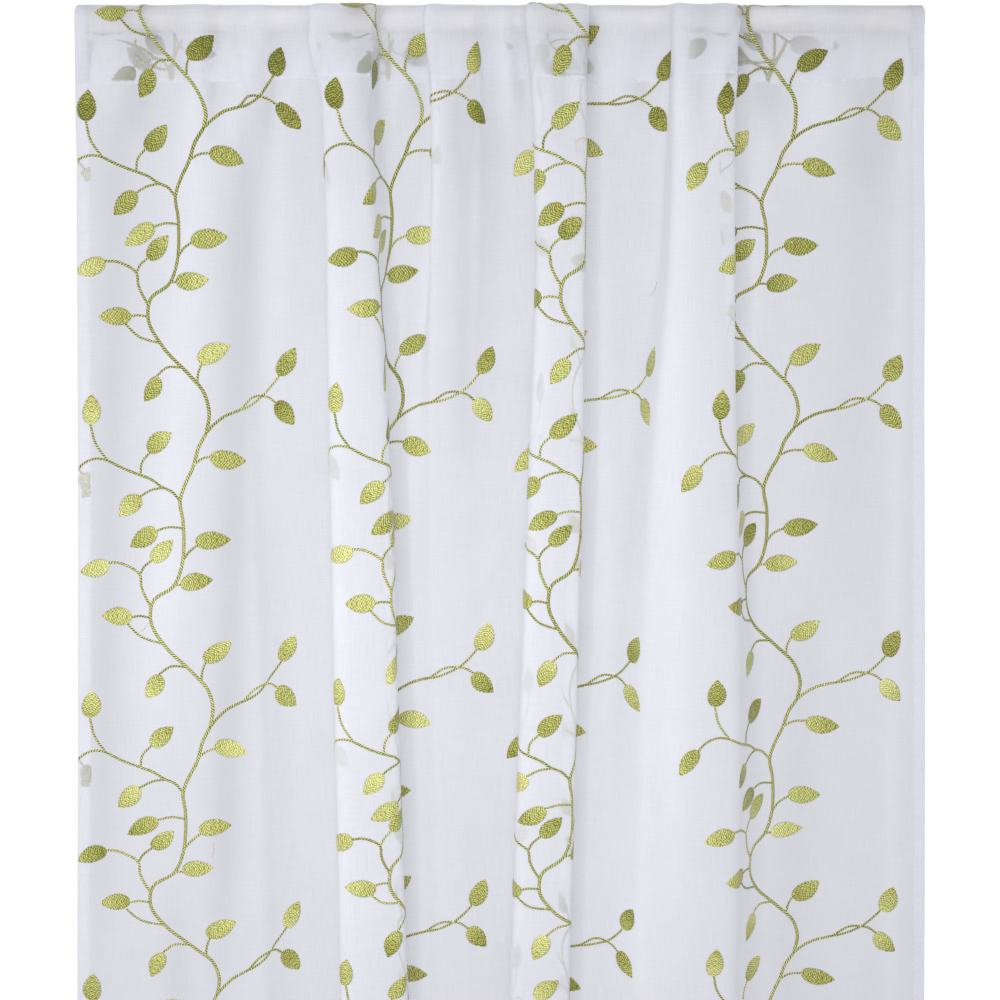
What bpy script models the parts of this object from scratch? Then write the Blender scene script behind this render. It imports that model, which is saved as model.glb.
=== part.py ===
"""Sheer curtain panel hanging from a plain rod: the solids, in metres, +Z up.

Frame: the origin is the middle of the rod's axis. +X runs along the rod to the right as seen from the
room, -Y points to the room (this is called "forward" below) and the cloth hangs down along -Z.

The cloth is worked out section by section. A section is the curve that the cloth makes at one height:
the tables give, for a few heights, where each fold's sides are, and a smooth curve is laid through
them. Its depth is then set so that every section is as long as the cloth is wide when it lies flat.
"""
import bmesh
import bpy
import numpy as np

MM = 0.001

# ---------------------------------------------------------------- the cloth, in millimetres
FLAT_WIDTH = 1220.0          # width of the cloth when it lies flat
CLOTH_DROP = 2119.0          # from the rod's axis down to the bottom edge
SEAM_DROP = 63.0             # from the rod's axis down to the pocket's stitch line
BOTTOM_HEM_DROP = 2043.0     # where the bottom hem starts
HEM_STEP = 2.5               # length over which a hem's edge thickens
SIDE_HEM = 14.0              # width of each side hem
PANEL_THICK = 1.6            # single cloth, with the ease of its weave
SEAM_THICK = 2.0             # the two pocket layers where they meet
HEM_EXTRA = 0.3              # what a hem adds to each face
LAYER_THICK = 1.0            # each layer of the pocket
LAYER_GAP = 0.3              # between the pocket's layers at the stitch line
LAYER_SPREAD = 1.5           # how much more they part on the way to the rod
SEAM_RISE = 1.0              # the slit between the layers starts this far above the stitch line
DEPTH_LIMITS = (0.3, 1.3)    # how far the fold depth may be scaled
SMOOTH_REACH = 30.0          # folds are evened out over this much cloth to each side on the rod
SMOOTH_STEPS = 13

# ---------------------------------------------------------------- the rod, in millimetres
ROD_RADIUS = 12.5
ROD_SIDES = 40
ROD_HALF_LENGTH = 422.5
SLEEVE_RADIUS = 14.3         # middle of the pocket's cloth where it lies round the rod
SLEEVE_SAG = 0.4             # the pocket hangs down on the rod by this much

# Left and right edge of the cloth at each height. Columns: drop, left, right.
EDGES = np.array([
    (0, -420, 421),
    (63, -423, 426),
    (130, -427, 433),
    (400, -437, 448),
    (700, -448, 461),
    (1050, -463, 474),
    (2119, -485, 495),
], float)

# How far forward the fronts and the feet of the folds lie. Columns: drop, front, foot.
DEPTHS = np.array([
    (0, 44, 14.4),
    (63, 38, 3),
    (130, 38, -14),
    (240, 40, -22),
    (400, 42, -26),
    (700, 42, -24),
    (1050, 38, -22),
    (2119, 34, -20),
], float)

# Level of the cloth between the folds, as a share of the depth from foot to front.
# Columns: drop, left zone, zones between folds 1-2, 2-3, 3-4 and 4-5, right zone.
LEVELS = np.array([
    (0, 0.25, 0.10, 0.05, 0.05, 0.05, 0.05),
    (130, 0.42, 0.15, 0.00, 0.06, 0.08, 0.05),
    (400, 0.55, 0.20, 0.00, 0.06, 0.12, 0.02),
    (700, 0.60, 0.22, 0.00, 0.04, 0.18, 0.00),
    (1050, 0.60, 0.22, 0.05, 0.04, 0.20, 0.00),
    (2119, 0.40, 0.15, 0.10, 0.05, 0.10, 0.10),
], float)

# The five folds from left to right. Columns: drop, left side, right side, height as a share of the
# depth, left tuck, right tuck. A positive tuck draws the foot in under the fold, a negative one
# spreads it into a soft slope.
FOLDS = [
    np.array([  # 1: soft shoulder near the left side
        (0, -320, -268, 0.45, -45, -30),
        (130, -318, -262, 0.56, -45, -30),
        (400, -316, -258, 0.66, -45, -28),
        (700, -312, -254, 0.70, -45, -28),
        (1050, -310, -255, 0.70, -45, -30),
        (2119, -340, -270, 0.70, -40, -35),
    ], float),
    np.array([  # 2: box fold left of the middle
        (0, -178, -122, 1.00, -2, -10),
        (63, -177, -125, 1.00, -1, -12),
        (130, -175, -128, 1.00, 9, -12),
        (300, -175, -122, 1.00, 10, -6),
        (400, -175, -116, 1.00, 10, 3),
        (480, -175, -113, 1.00, 10, 8),
        (700, -174, -109, 1.00, 10, 10),
        (1050, -173, -101, 1.00, 10, 10),
        (2119, -180, -95, 1.00, 10, 10),
    ], float),
    np.array([  # 3: low fold under the heading, which dies out on the way down
        (0, -70, -25, 0.70, -3, -18),
        (63, -68, -22, 0.66, -2, -20),
        (130, -66, -20, 0.62, 6, -22),
        (240, -70, -22, 0.45, 0, -22),
        (400, -74, -30, 0.22, -12, -20),
        (700, -72, -38, 0.10, -12, -14),
        (1050, -66, -34, 0.10, -12, -12),
        (2119, -55, -32, 0.35, -10, -10),
    ], float),
    np.array([  # 4: sharp box fold right of the middle
        (0, 25, 88, 1.00, -2, -2),
        (63, 33, 87, 1.00, -1, -1),
        (130, 35, 86, 1.00, 10, 9),
        (240, 37, 85, 1.00, 11, 10),
        (400, 32, 85, 1.00, 11, 10),
        (700, 22, 80, 1.02, 12, 10),
        (1050, 11, 74, 1.05, 12, 10),
        (2119, 2, 72, 1.10, 12, 10),
    ], float),
    np.array([  # 5: fold that is sharp at the top and wide and soft below
        (0, 170, 237, 0.95, -3, -2),
        (63, 173, 233, 1.00, -3, -1),
        (130, 174, 234, 1.00, -5, 9),
        (240, 172, 237, 1.00, -8, 7),
        (400, 160, 241, 1.00, -20, -8),
        (700, 150, 252, 0.95, -35, -26),
        (1050, 150, 255, 0.90, -38, -30),
        (2119, 165, 262, 1.00, -30, -26),
    ], float),
]

# One side of a fold as points: how far out from the side in units of the soft slope, a fixed step
# out, how far in as a share of the fold's width, and the height as a share of the rise.
# Columns: soft, out, tuck, inward, rise.
FOLD_SIDE = np.array([
    (0.30, 10.0, 1.0, 0.00, 0.00),
    (0.00, 0.0, 1.0, 0.00, 0.12),
    (0.35, 0.0, 0.0, 0.00, 0.50),
    (0.00, 0.0, 0.0, 0.16, 0.90),
])

PANEL_ROWS = (
    CLOTH_DROP, BOTTOM_HEM_DROP + HEM_STEP, BOTTOM_HEM_DROP, 1740.0, 1390.0, 1080.0, 910.0, 750.0,
    600.0, 480.0, 390.0, 310.0, 240.0, 180.0, 130.0, 95.0, SEAM_DROP,
)
FRONT_ROWS = (54.0, 36.0, 18.0, 0.0)     # pocket's layers, from the stitch line up to the rod's axis
ARC_STEPS = 7                            # from the rod's front over its top to where the cloth leaves
SPLITS_SOFT = 1                          # columns for each stretch of the soft first fold
SPLITS_SHARP = 2                         # columns for each stretch of the other folds
CURVE_STEPS = 8                          # steps for each stretch when a section's length is measured
BISECTIONS = 30


def hermite(knots, values, at):
    """Smooth curve through values at knots: slopes are the step-weighted mean of both neighbours."""
    step = np.diff(knots)
    slope = np.diff(values) / step
    tangent = np.empty_like(values)
    tangent[0] = slope[0]
    tangent[-1] = slope[-1]
    tangent[1:-1] = (slope[:-1] * step[1:] + slope[1:] * step[:-1]) / (step[:-1] + step[1:])
    at = np.clip(at, knots[0], knots[-1])
    index = np.clip(np.searchsorted(knots, at, side="right") - 1, 0, len(step) - 1)
    width = step[index]
    t = (at - knots[index]) / width
    start = (1 + 2 * t) * (1 - t) ** 2 * values[index] + t * (1 - t) ** 2 * width * tangent[index]
    end = t * t * (3 - 2 * t) * values[index + 1] + t * t * (t - 1) * width * tangent[index + 1]
    return start + end


def table_row(table, drop):
    """The columns of a table at a height between its rows."""
    return [float(hermite(table[:, 0], table[:, k], drop)) for k in range(1, table.shape[1])]


def fold_points(fold, drop, foot, depth, level_left, level_right):
    """The nine points of one fold's outline at a height."""
    left, right, share, tuck_left, tuck_right = table_row(fold, drop)
    top = foot + share * depth
    width = right - left
    points = []
    for soft, out, tuck, inward, rise in FOLD_SIDE:
        x = left + tuck * tuck_left - out - soft * max(0.0, -tuck_left) + inward * width
        points.append((x, level_left + rise * (top - level_left)))
    points.append(((left + right) / 2, top))
    for soft, out, tuck, inward, rise in FOLD_SIDE[::-1]:
        x = right - tuck * tuck_right + out + soft * max(0.0, -tuck_right) - inward * width
        points.append((x, level_right + rise * (top - level_right)))
    return points


def section_points(drop, scale):
    """All points of the section at a height, from the left edge to the right edge."""
    left, right = table_row(EDGES, drop)
    front, foot = table_row(DEPTHS, drop)
    depth = (front - foot) * scale
    levels = [foot + depth * share for share in table_row(LEVELS, drop)]
    points = [(left, levels[0])]
    for number, fold in enumerate(FOLDS):
        points += fold_points(fold, drop, foot, depth, levels[number], levels[number + 1])
    points.append((right, levels[-1]))
    return np.array(points)


def along(points, places):
    """The curve through the points, at places counted in points."""
    chords = np.linalg.norm(np.diff(points, axis=0), axis=1) ** 0.5
    knots = np.concatenate([[0.0], np.cumsum(chords)])
    at = np.interp(places, np.arange(len(points)), knots)
    return np.stack([hermite(knots, points[:, 0], at), hermite(knots, points[:, 1], at)], axis=1)


def run_lengths(curve):
    """Length along the curve from its start to each of its points."""
    return np.concatenate([[0.0], np.cumsum(np.linalg.norm(np.diff(curve, axis=0), axis=1))])


def column_places(flat, fine):
    """Where the columns are, in points of the section: the hem edges and a few for each stretch."""
    hems = [0.0, SIDE_HEM, SIDE_HEM + HEM_STEP]
    places = list(np.interp(hems, flat, fine))
    side = len(FOLD_SIDE)
    for number in range(len(FOLDS)):
        first = 1 + number * (2 * side + 1)
        splits = SPLITS_SOFT if number == 0 else SPLITS_SHARP
        places += list(first + np.arange(2 * side * splits + 1) / splits)
    places += list(np.interp([FLAT_WIDTH - hem for hem in reversed(hems)], flat, fine))
    return np.array(places)


def section(drop):
    """The section at a height: for each column its flat place, x and how far forward it is."""
    count = len(section_points(drop, 1.0))
    fine = np.arange((count - 1) * CURVE_STEPS + 1) / CURVE_STEPS
    low, high = DEPTH_LIMITS
    for _ in range(BISECTIONS):
        scale = (low + high) / 2
        if run_lengths(along(section_points(drop, scale), fine))[-1] < FLAT_WIDTH:
            low = scale
        else:
            high = scale
    points = section_points(drop, scale)
    lengths = run_lengths(along(points, fine))
    flat = lengths * FLAT_WIDTH / lengths[-1]
    places = column_places(flat, fine)
    curve = along(points, places)
    return np.interp(places, fine, flat), curve[:, 0], curve[:, 1]


def spread(flat, x):
    """Evens x out over the cloth on both sides, so that it rises steadily from left to right."""
    offsets = np.linspace(-SMOOTH_REACH, SMOOTH_REACH, SMOOTH_STEPS)
    slope_left = (x[1] - x[0]) / (flat[1] - flat[0])
    slope_right = (x[-1] - x[-2]) / (flat[-1] - flat[-2])
    total = np.zeros_like(x)
    for offset in offsets:
        at = flat + offset
        beyond = np.minimum(at - flat[0], 0) * slope_left + np.maximum(at - flat[-1], 0) * slope_right
        total += np.interp(at, flat, x) + beyond
    return total / len(offsets)


def normals(grid):
    """Forward-facing or outward normals of a surface of rows (going up) and columns (going right)."""
    across = np.gradient(grid, axis=1)
    upward = np.gradient(grid, axis=0)
    normal = np.cross(across, upward)
    return normal / np.linalg.norm(normal, axis=2, keepdims=True)


def surface(x, forward, z):
    """Stacks x, forward and z (arrays of one shape) as points, with forward along -Y."""
    return np.stack([x, -forward, z * np.ones_like(x)], axis=-1)


def cloth_rings():
    """Rings of points round the cloth's cross-section, one for each column: outer and inner."""
    drops = PANEL_ROWS + FRONT_ROWS
    rows = [section(drop) for drop in drops]
    flat = rows[len(PANEL_ROWS) - 1][0]
    front = np.array([surface(x, forward, -drop) for drop, (_, x, forward) in zip(drops, rows)])
    seam_row = len(PANEL_ROWS) - 1
    front_normal = normals(front)
    seam = front[seam_row]
    seam_normal = front_normal[seam_row]

    # over the rod: the folds shrink to nothing on its top, and the back lies against the rod
    x_rod = rows[-1][1]
    x_top = spread(rows[-1][0], x_rod)
    bulge = np.maximum(rows[-1][2] - SLEEVE_RADIUS, 0.0)
    behind = seam - seam_normal * (LAYER_THICK + LAYER_GAP)
    reach = np.hypot(behind[:, 1], behind[:, 2])
    leave = 2 * np.pi + np.arctan2(behind[:, 2], -behind[:, 1]) - np.arccos(SLEEVE_RADIUS / reach)
    arc = []
    for step in range(1, ARC_STEPS + 1):
        angle = leave * step / ARC_STEPS
        fade = np.maximum(np.cos(angle), 0.0)
        x = x_top + (x_rod - x_top) * fade
        height = SLEEVE_RADIUS * np.sin(angle) - SLEEVE_SAG
        arc.append(surface(x, SLEEVE_RADIUS * np.cos(angle) + bulge * fade, height))
    off_rod = arc[-1]
    back = []
    for row in range(len(drops) - 2, seam_row, -1):
        share = ((SEAM_DROP - drops[row]) / (SEAM_DROP + off_rod[:, 2]))[:, None]
        parted = front[row] - front_normal[row] * (LAYER_THICK + LAYER_GAP + LAYER_SPREAD * share)
        against = off_rod.copy()
        against[:, 0] = spread(rows[row][0], rows[row][1])
        layer = parted * (1 - share) + against * share
        layer[:, 2] = parted[:, 2]
        back.append(layer)
    sleeve = np.concatenate([front[seam_row + 1:], np.array(arc), np.array(back)])

    # thickness
    from_side = np.minimum(flat, FLAT_WIDTH - flat)
    hem = np.where(from_side < SIDE_HEM + HEM_STEP / 2, HEM_EXTRA, 0.0)[None, :, None]
    around = np.concatenate([front[:seam_row + 1], sleeve, behind[None]])
    around_normal = normals(around)
    sleeve_normal = around_normal[seam_row + 1:-1]
    outer_sleeve = sleeve + sleeve_normal * (LAYER_THICK / 2 + hem)
    inner_sleeve = sleeve - sleeve_normal * (LAYER_THICK / 2)
    panel = front[:seam_row + 1]
    panel_normal = around_normal[:seam_row + 1]
    panel_drops = np.array(PANEL_ROWS)[:, None, None]
    in_hem = np.where(panel_drops > BOTTOM_HEM_DROP + HEM_STEP / 2, HEM_EXTRA, 0.0)
    extra = np.maximum(hem, in_hem)
    at_seam = panel_drops == SEAM_DROP
    front_half = np.where(at_seam, LAYER_THICK / 2, PANEL_THICK / 2)
    back_half = np.where(at_seam, SEAM_THICK - LAYER_THICK / 2, PANEL_THICK / 2)
    panel_front = panel + panel_normal * (front_half + extra)
    panel_back = panel - panel_normal * (back_half + extra)
    slit = seam - seam_normal * (LAYER_THICK + LAYER_GAP) / 2 + np.array([0.0, 0.0, SEAM_RISE])

    outer = np.concatenate([panel_front, outer_sleeve, panel_back[::-1]])
    inner = np.concatenate([slit[None], inner_sleeve])
    return outer * MM, inner * MM


def ring_shell(mesh, rings, flip):
    """Quads between neighbouring columns all round the rings. Returns the vertices."""
    rows, columns = rings.shape[:2]
    verts = [[mesh.verts.new(rings[r, c]) for c in range(columns)] for r in range(rows)]
    for r in range(rows):
        after = (r + 1) % rows
        for c in range(columns - 1):
            quad = [verts[r][c], verts[r][c + 1], verts[after][c + 1], verts[after][c]]
            mesh.faces.new(quad[::-1] if flip else quad)
    return verts


def side_cap(mesh, outer, inner, column, flip):
    """Closes the side edge of the cloth between the outer ring and the pocket's inner ring."""
    out = [ring[column] for ring in outer]
    slit = [ring[column] for ring in inner]
    panel = len(PANEL_ROWS)
    faces = [(out[r], out[r + 1], out[-2 - r], out[-1 - r]) for r in range(panel - 1)]
    faces.append((out[panel - 1], slit[0], out[-panel]))
    for r in range(len(slit) - 1):
        faces.append((out[panel - 1 + r], out[panel + r], slit[r + 1], slit[r]))
    faces.append((out[-panel - 1], out[-panel], slit[0], slit[-1]))
    for face in faces:
        mesh.faces.new(face[::-1] if flip else face)


def add_object(name, mesh, colour, roughness):
    """Makes an object with its own material from a bmesh."""
    bmesh.ops.recalc_face_normals(mesh, faces=mesh.faces)
    data = bpy.data.meshes.new(name)
    mesh.to_mesh(data)
    mesh.free()
    part = bpy.data.objects.new(name, data)
    bpy.context.scene.collection.objects.link(part)
    material = bpy.data.materials.new(name + "_mat")
    material.use_nodes = True
    shader = material.node_tree.nodes["Principled BSDF"]
    shader.inputs["Base Color"].default_value = (*colour, 1.0)
    shader.inputs["Roughness"].default_value = roughness
    data.materials.append(material)
    data.shade_smooth()
    return part


def build_curtain():
    """The cloth: panel, hems and turned-over rod pocket as one closed solid."""
    outer, inner = cloth_rings()
    mesh = bmesh.new()
    outer_verts = ring_shell(mesh, outer, False)
    inner_verts = ring_shell(mesh, inner, True)
    side_cap(mesh, outer_verts, inner_verts, 0, True)
    side_cap(mesh, outer_verts, inner_verts, -1, False)
    bmesh.ops.triangulate(mesh, faces=mesh.faces)
    return add_object("curtain", mesh, (0.80, 0.80, 0.83), 0.85)


def build_rod():
    """The rod: a plain round bar with flat ends."""
    mesh = bmesh.new()
    angles = np.arange(ROD_SIDES) * 2 * np.pi / ROD_SIDES
    ends = []
    for x in (-ROD_HALF_LENGTH, ROD_HALF_LENGTH):
        ring = [(x * MM, ROD_RADIUS * MM * np.cos(a), ROD_RADIUS * MM * np.sin(a)) for a in angles]
        ends.append([mesh.verts.new(point) for point in ring])
    for k in range(ROD_SIDES):
        after = (k + 1) % ROD_SIDES
        mesh.faces.new((ends[0][k], ends[0][after], ends[1][after], ends[1][k]))
    mesh.faces.new(ends[0])
    mesh.faces.new(ends[1][::-1])
    return add_object("rod", mesh, (0.86, 0.86, 0.85), 0.35)


for old in list(bpy.data.objects):
    bpy.data.objects.remove(old, do_unlink=True)
build_curtain()
build_rod()
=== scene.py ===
"""Dresses the sheer voile curtain and its rod: cloth, hems, stitching, embroidered vine, paint and light.

The cloth is described on its flat cut: u runs across from the left edge and v down from the rod's axis,
both in millimetres. Going up from v = 0 the cloth runs over the rod and down behind the heading to the
pocket's stitch line, where it is turned up inside the pocket, so v is negative there. Drape says where
each flat point hangs. World axes: +X to the right as seen from the room, -Y to the room ("forward"), +Z
up, origin in the middle of the rod.
"""
import logging
from collections.abc import Iterable
from dataclasses import dataclass, field
from enum import Enum
from functools import partial, reduce

import bpy
import numpy as np
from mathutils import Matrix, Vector


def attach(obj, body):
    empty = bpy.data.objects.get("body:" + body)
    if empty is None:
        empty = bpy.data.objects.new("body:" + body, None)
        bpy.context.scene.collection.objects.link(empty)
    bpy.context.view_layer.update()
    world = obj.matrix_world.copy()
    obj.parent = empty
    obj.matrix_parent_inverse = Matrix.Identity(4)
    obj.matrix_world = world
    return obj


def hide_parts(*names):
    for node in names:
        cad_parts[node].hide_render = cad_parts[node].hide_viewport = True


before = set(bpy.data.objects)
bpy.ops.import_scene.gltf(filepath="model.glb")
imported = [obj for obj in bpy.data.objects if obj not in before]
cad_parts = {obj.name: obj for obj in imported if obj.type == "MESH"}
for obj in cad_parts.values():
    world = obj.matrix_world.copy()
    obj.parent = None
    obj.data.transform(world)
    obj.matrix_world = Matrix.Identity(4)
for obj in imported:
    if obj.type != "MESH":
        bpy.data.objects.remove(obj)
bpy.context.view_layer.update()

LOG = logging.getLogger("curtain")
MM = 0.001
Array = np.ndarray
Socket = bpy.types.NodeSocket
Colour = tuple[float, float, float, float]
Pair = tuple[float, float]
Triple = tuple[float, float, float]


# ------------------------------------------------------------------------------------------ shared maths
def hermite(knots: Array, values: Array, at: Array) -> Array:
    """Smooth curve through values at knots; a slope is the step-weighted mean of both neighbours.

    Args:
        knots: rising places of the values.
        values: one value for each knot.
        at: places to read the curve at; beyond the ends it stays at the end values.

    Returns:
        The curve's values at those places.
    """
    step = np.diff(knots)
    slope = np.diff(values) / step
    tangent = np.empty_like(values)
    tangent[0] = slope[0]
    tangent[-1] = slope[-1]
    tangent[1:-1] = (slope[:-1] * step[1:] + slope[1:] * step[:-1]) / (step[:-1] + step[1:])
    at = np.clip(at, knots[0], knots[-1])
    index = np.clip(np.searchsorted(knots, at, side="right") - 1, 0, len(step) - 1)
    width = step[index]
    t = (at - knots[index]) / width
    start = (1 + 2 * t) * (1 - t) ** 2 * values[index] + t * (1 - t) ** 2 * width * tangent[index]
    end = t * t * (3 - 2 * t) * values[index + 1] + t * t * (t - 1) * width * tangent[index + 1]
    return start + end


def table_row(table: Array, drop: float) -> list[float]:
    """Returns the columns of a table (first column: drop) at a height between its rows."""
    return [float(hermite(table[:, 0], table[:, k], drop)) for k in range(1, table.shape[1])]


def smooth_step(low: float, high: float, at: Array) -> Array:
    """Returns 0 below low and 1 above high, with 3t^2 - 2t^3 between them."""
    t = np.clip((at - low) / (high - low), 0, 1)
    return t * t * (3 - 2 * t)


def run_lengths(points: Array) -> Array:
    """Returns the length along a polyline from its start to each of its points."""
    return np.concatenate([[0.0], np.cumsum(np.linalg.norm(np.diff(points, axis=0), axis=1))])


def smooth_path(points: Array, step: float) -> Array:
    """Lays a smooth curve through points and reads it at even steps.

    Args:
        points: the points of the path, one row each.
        step: wanted distance between the points that come back.

    Returns:
        Points on the curve, about a step apart, with both ends kept.
    """
    knots = run_lengths(points)
    count = max(int(np.ceil(knots[-1] / step)), 2) + 1
    at = np.linspace(0, knots[-1], count)
    return np.stack([hermite(knots, points[:, k], at) for k in range(points.shape[1])], axis=1)


def normals(grid: Array) -> Array:
    """Returns unit normals of a grid of points: direction across times direction up the rows."""
    normal = np.cross(np.gradient(grid, axis=1), np.gradient(grid, axis=0))
    return normal / np.linalg.norm(normal, axis=2, keepdims=True)


def linear(red: float, green: float, blue: float) -> Colour:
    """Returns a colour given as screen values from 0 to 255 as the linear RGBA that a socket takes."""
    value = np.array([red, green, blue]) / 255
    value = np.where(value <= 0.04045, value / 12.92, ((value + 0.055) / 1.055) ** 2.4)
    return (float(value[0]), float(value[1]), float(value[2]), 1.0)


# ---------------------------------------------------------------------------------------- mesh building
@dataclass
class Surface:
    """A growing set of grids that becomes one mesh, with its UV map and its point attributes."""

    points: list[Array] = field(default_factory=list)
    quads: list[Array] = field(default_factory=list)
    uvs: list[Array] = field(default_factory=list)
    values: dict[str, list[Array]] = field(default_factory=dict)
    count: int = 0

    def add_grid(self, points: Array, uv: Array, closed: bool = False, **values: Array) -> None:
        """Adds a grid of quads; a quad joins point (r, c) with its right, upper right and upper ones.

        Args:
            points: rows x columns x 3, in metres; the rows go up where the columns go to the right.
            uv: rows x columns x 2.
            closed: makes a tube with capped ends: its columns (an even number) run anticlockwise when
                looked at along the rows.
            values: point attributes, each rows x columns or one number.
        """
        rows, columns = points.shape[:2]
        index = np.arange(rows * columns).reshape(rows, columns) + self.count
        if closed:
            first, last = index[0], index[-1]
            low = np.arange(columns // 2 - 1)
            high = columns - 1 - low
            self.quads.append(np.stack([first[low], first[low + 1], first[high - 1], first[high]], axis=-1))
            self.quads.append(np.stack([last[high], last[high - 1], last[low + 1], last[low]], axis=-1))
            index = np.concatenate([index, index[:, :1]], axis=1)[:, ::-1]
        corners = (index[:-1, :-1], index[:-1, 1:], index[1:, 1:], index[1:, :-1])
        self.quads.append(np.stack(corners, axis=-1).reshape(-1, 4))
        self.points.append(points.reshape(-1, 3))
        self.uvs.append(uv.reshape(-1, 2))
        for name, value in values.items():
            spread = np.broadcast_to(value, (rows, columns)).reshape(-1)
            self.values.setdefault(name, []).append(spread)
        self.count += rows * columns

    def build(self, name: str, material: bpy.types.Material) -> bpy.types.Object:
        """Makes the object: vertices, quads, smooth shading, UV map "cut" and the point attributes.

        Args:
            name: the piece's name.
            material: the finish that it gets.

        Returns:
            The new object, at the origin, linked to the scene.
        """
        points = np.concatenate(self.points).astype(np.float32)
        quads = np.concatenate(self.quads).astype(np.int32)
        uv = np.concatenate(self.uvs).astype(np.float32)
        mesh = bpy.data.meshes.new(name)
        mesh.vertices.add(len(points))
        mesh.vertices.foreach_set("co", points.ravel())
        mesh.loops.add(quads.size)
        mesh.loops.foreach_set("vertex_index", quads.ravel())
        mesh.polygons.add(len(quads))
        mesh.polygons.foreach_set("loop_start", np.arange(0, quads.size, 4, dtype=np.int32))
        mesh.update(calc_edges=True)
        mesh.uv_layers.new(name="cut").data.foreach_set("uv", uv[quads.ravel()].ravel())
        for key, parts in self.values.items():
            data = np.concatenate(parts).astype(np.float32)
            mesh.attributes.new(key, "FLOAT", "POINT").data.foreach_set("value", data)
        mesh.polygons.foreach_set("use_smooth", np.ones(len(quads), dtype=bool))
        mesh.materials.append(material)
        mesh.validate()
        piece = bpy.data.objects.new(name, mesh)
        bpy.context.scene.collection.objects.link(piece)
        return piece


# --------------------------------------------------------------------------------------------- finishes
class Graph:
    """The node tree of a finish or of the surround, with short calls for the nodes in use."""

    def __init__(self, owner: bpy.types.Material | bpy.types.World) -> None:
        """Takes the owner's node tree and empties it."""
        self.owner = owner
        owner.use_nodes = True
        self.tree = owner.node_tree
        self.tree.nodes.clear()

    def add(self, kind: str, inputs: dict[str | int, object] | None = None,
            **settings: object) -> bpy.types.Node:
        """Adds a node.

        Args:
            kind: Blender's name of the node type.
            inputs: for each input, a socket to link or a value to set.
            settings: the node's own properties.

        Returns:
            The node.
        """
        node = self.tree.nodes.new(kind)
        for name, value in settings.items():
            setattr(node, name, value)
        for key, value in (inputs or {}).items():
            if isinstance(value, Socket):
                self.tree.links.new(value, node.inputs[key])
            else:
                node.inputs[key].default_value = value
        return node

    def math(self, operation: str, first: object, second: object = 0.0, clamp: bool = False) -> Socket:
        """Returns the result of a Math node on two sockets or numbers."""
        node = self.add("ShaderNodeMath", {0: first, 1: second}, operation=operation, use_clamp=clamp)
        return node.outputs[0]

    def blend(self, parts: Iterable[tuple[Socket, float]]) -> Socket:
        """Returns the sum of sockets, each times its share."""
        return reduce(partial(self.math, "ADD"), [self.math("MULTIPLY", *part) for part in parts])

    def scaled(self, value: Socket, low: float, high: float, to_low: float, to_high: float) -> Socket:
        """Returns value with low..high stretched to to_low..to_high, clamped there."""
        inputs = {"Value": value, "From Min": low, "From Max": high, "To Min": to_low, "To Max": to_high}
        return self.add("ShaderNodeMapRange", inputs).outputs["Result"]

    def mix(self, share: object, first: object, second: object) -> Socket:
        """Returns the colour between first and second at a share from 0 to 1."""
        node = self.add("ShaderNodeMix", {0: share, 6: first, 7: second}, data_type="RGBA")
        return node.outputs[2]

    def noise(self, vector: Socket, stretch: Triple, detail: float = 2.0) -> Socket:
        """Returns noise with so many cells per unit of the vector along each axis."""
        place = self.add("ShaderNodeMapping", {"Vector": vector, "Scale": stretch}).outputs[0]
        node = self.add("ShaderNodeTexNoise", {"Vector": place, "Scale": 1.0, "Detail": detail})
        return node.outputs["Fac"]

    def bump(self, height: Socket, strength: float, distance: float) -> Socket:
        """Returns normals bumped by a height."""
        inputs = {"Height": height, "Strength": strength, "Distance": distance}
        return self.add("ShaderNodeBump", inputs).outputs[0]

    def mix_shader(self, share: object, first: Socket, second: Socket) -> Socket:
        """Returns the shader between first and second at a share from 0 to 1."""
        return self.add("ShaderNodeMixShader", {0: share, 1: first, 2: second}).outputs[0]

    def surface(self, **inputs: object) -> Socket:
        """Returns the shader of a solid surface; an underscore in an input's name is a space."""
        named = {key.replace("_", " "): value for key, value in inputs.items()}
        return self.add("ShaderNodeBsdfPrincipled", named).outputs[0]

    def clear(self) -> Socket:
        """Returns the shader of an open gap."""
        return self.add("ShaderNodeBsdfTransparent", {"Color": (1.0, 1.0, 1.0, 1.0)}).outputs[0]

    def done(self, shader: Socket) -> bpy.types.Material:
        """Links the shader to the output and returns the material."""
        self.add("ShaderNodeOutputMaterial", {"Surface": shader})
        return self.owner


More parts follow.
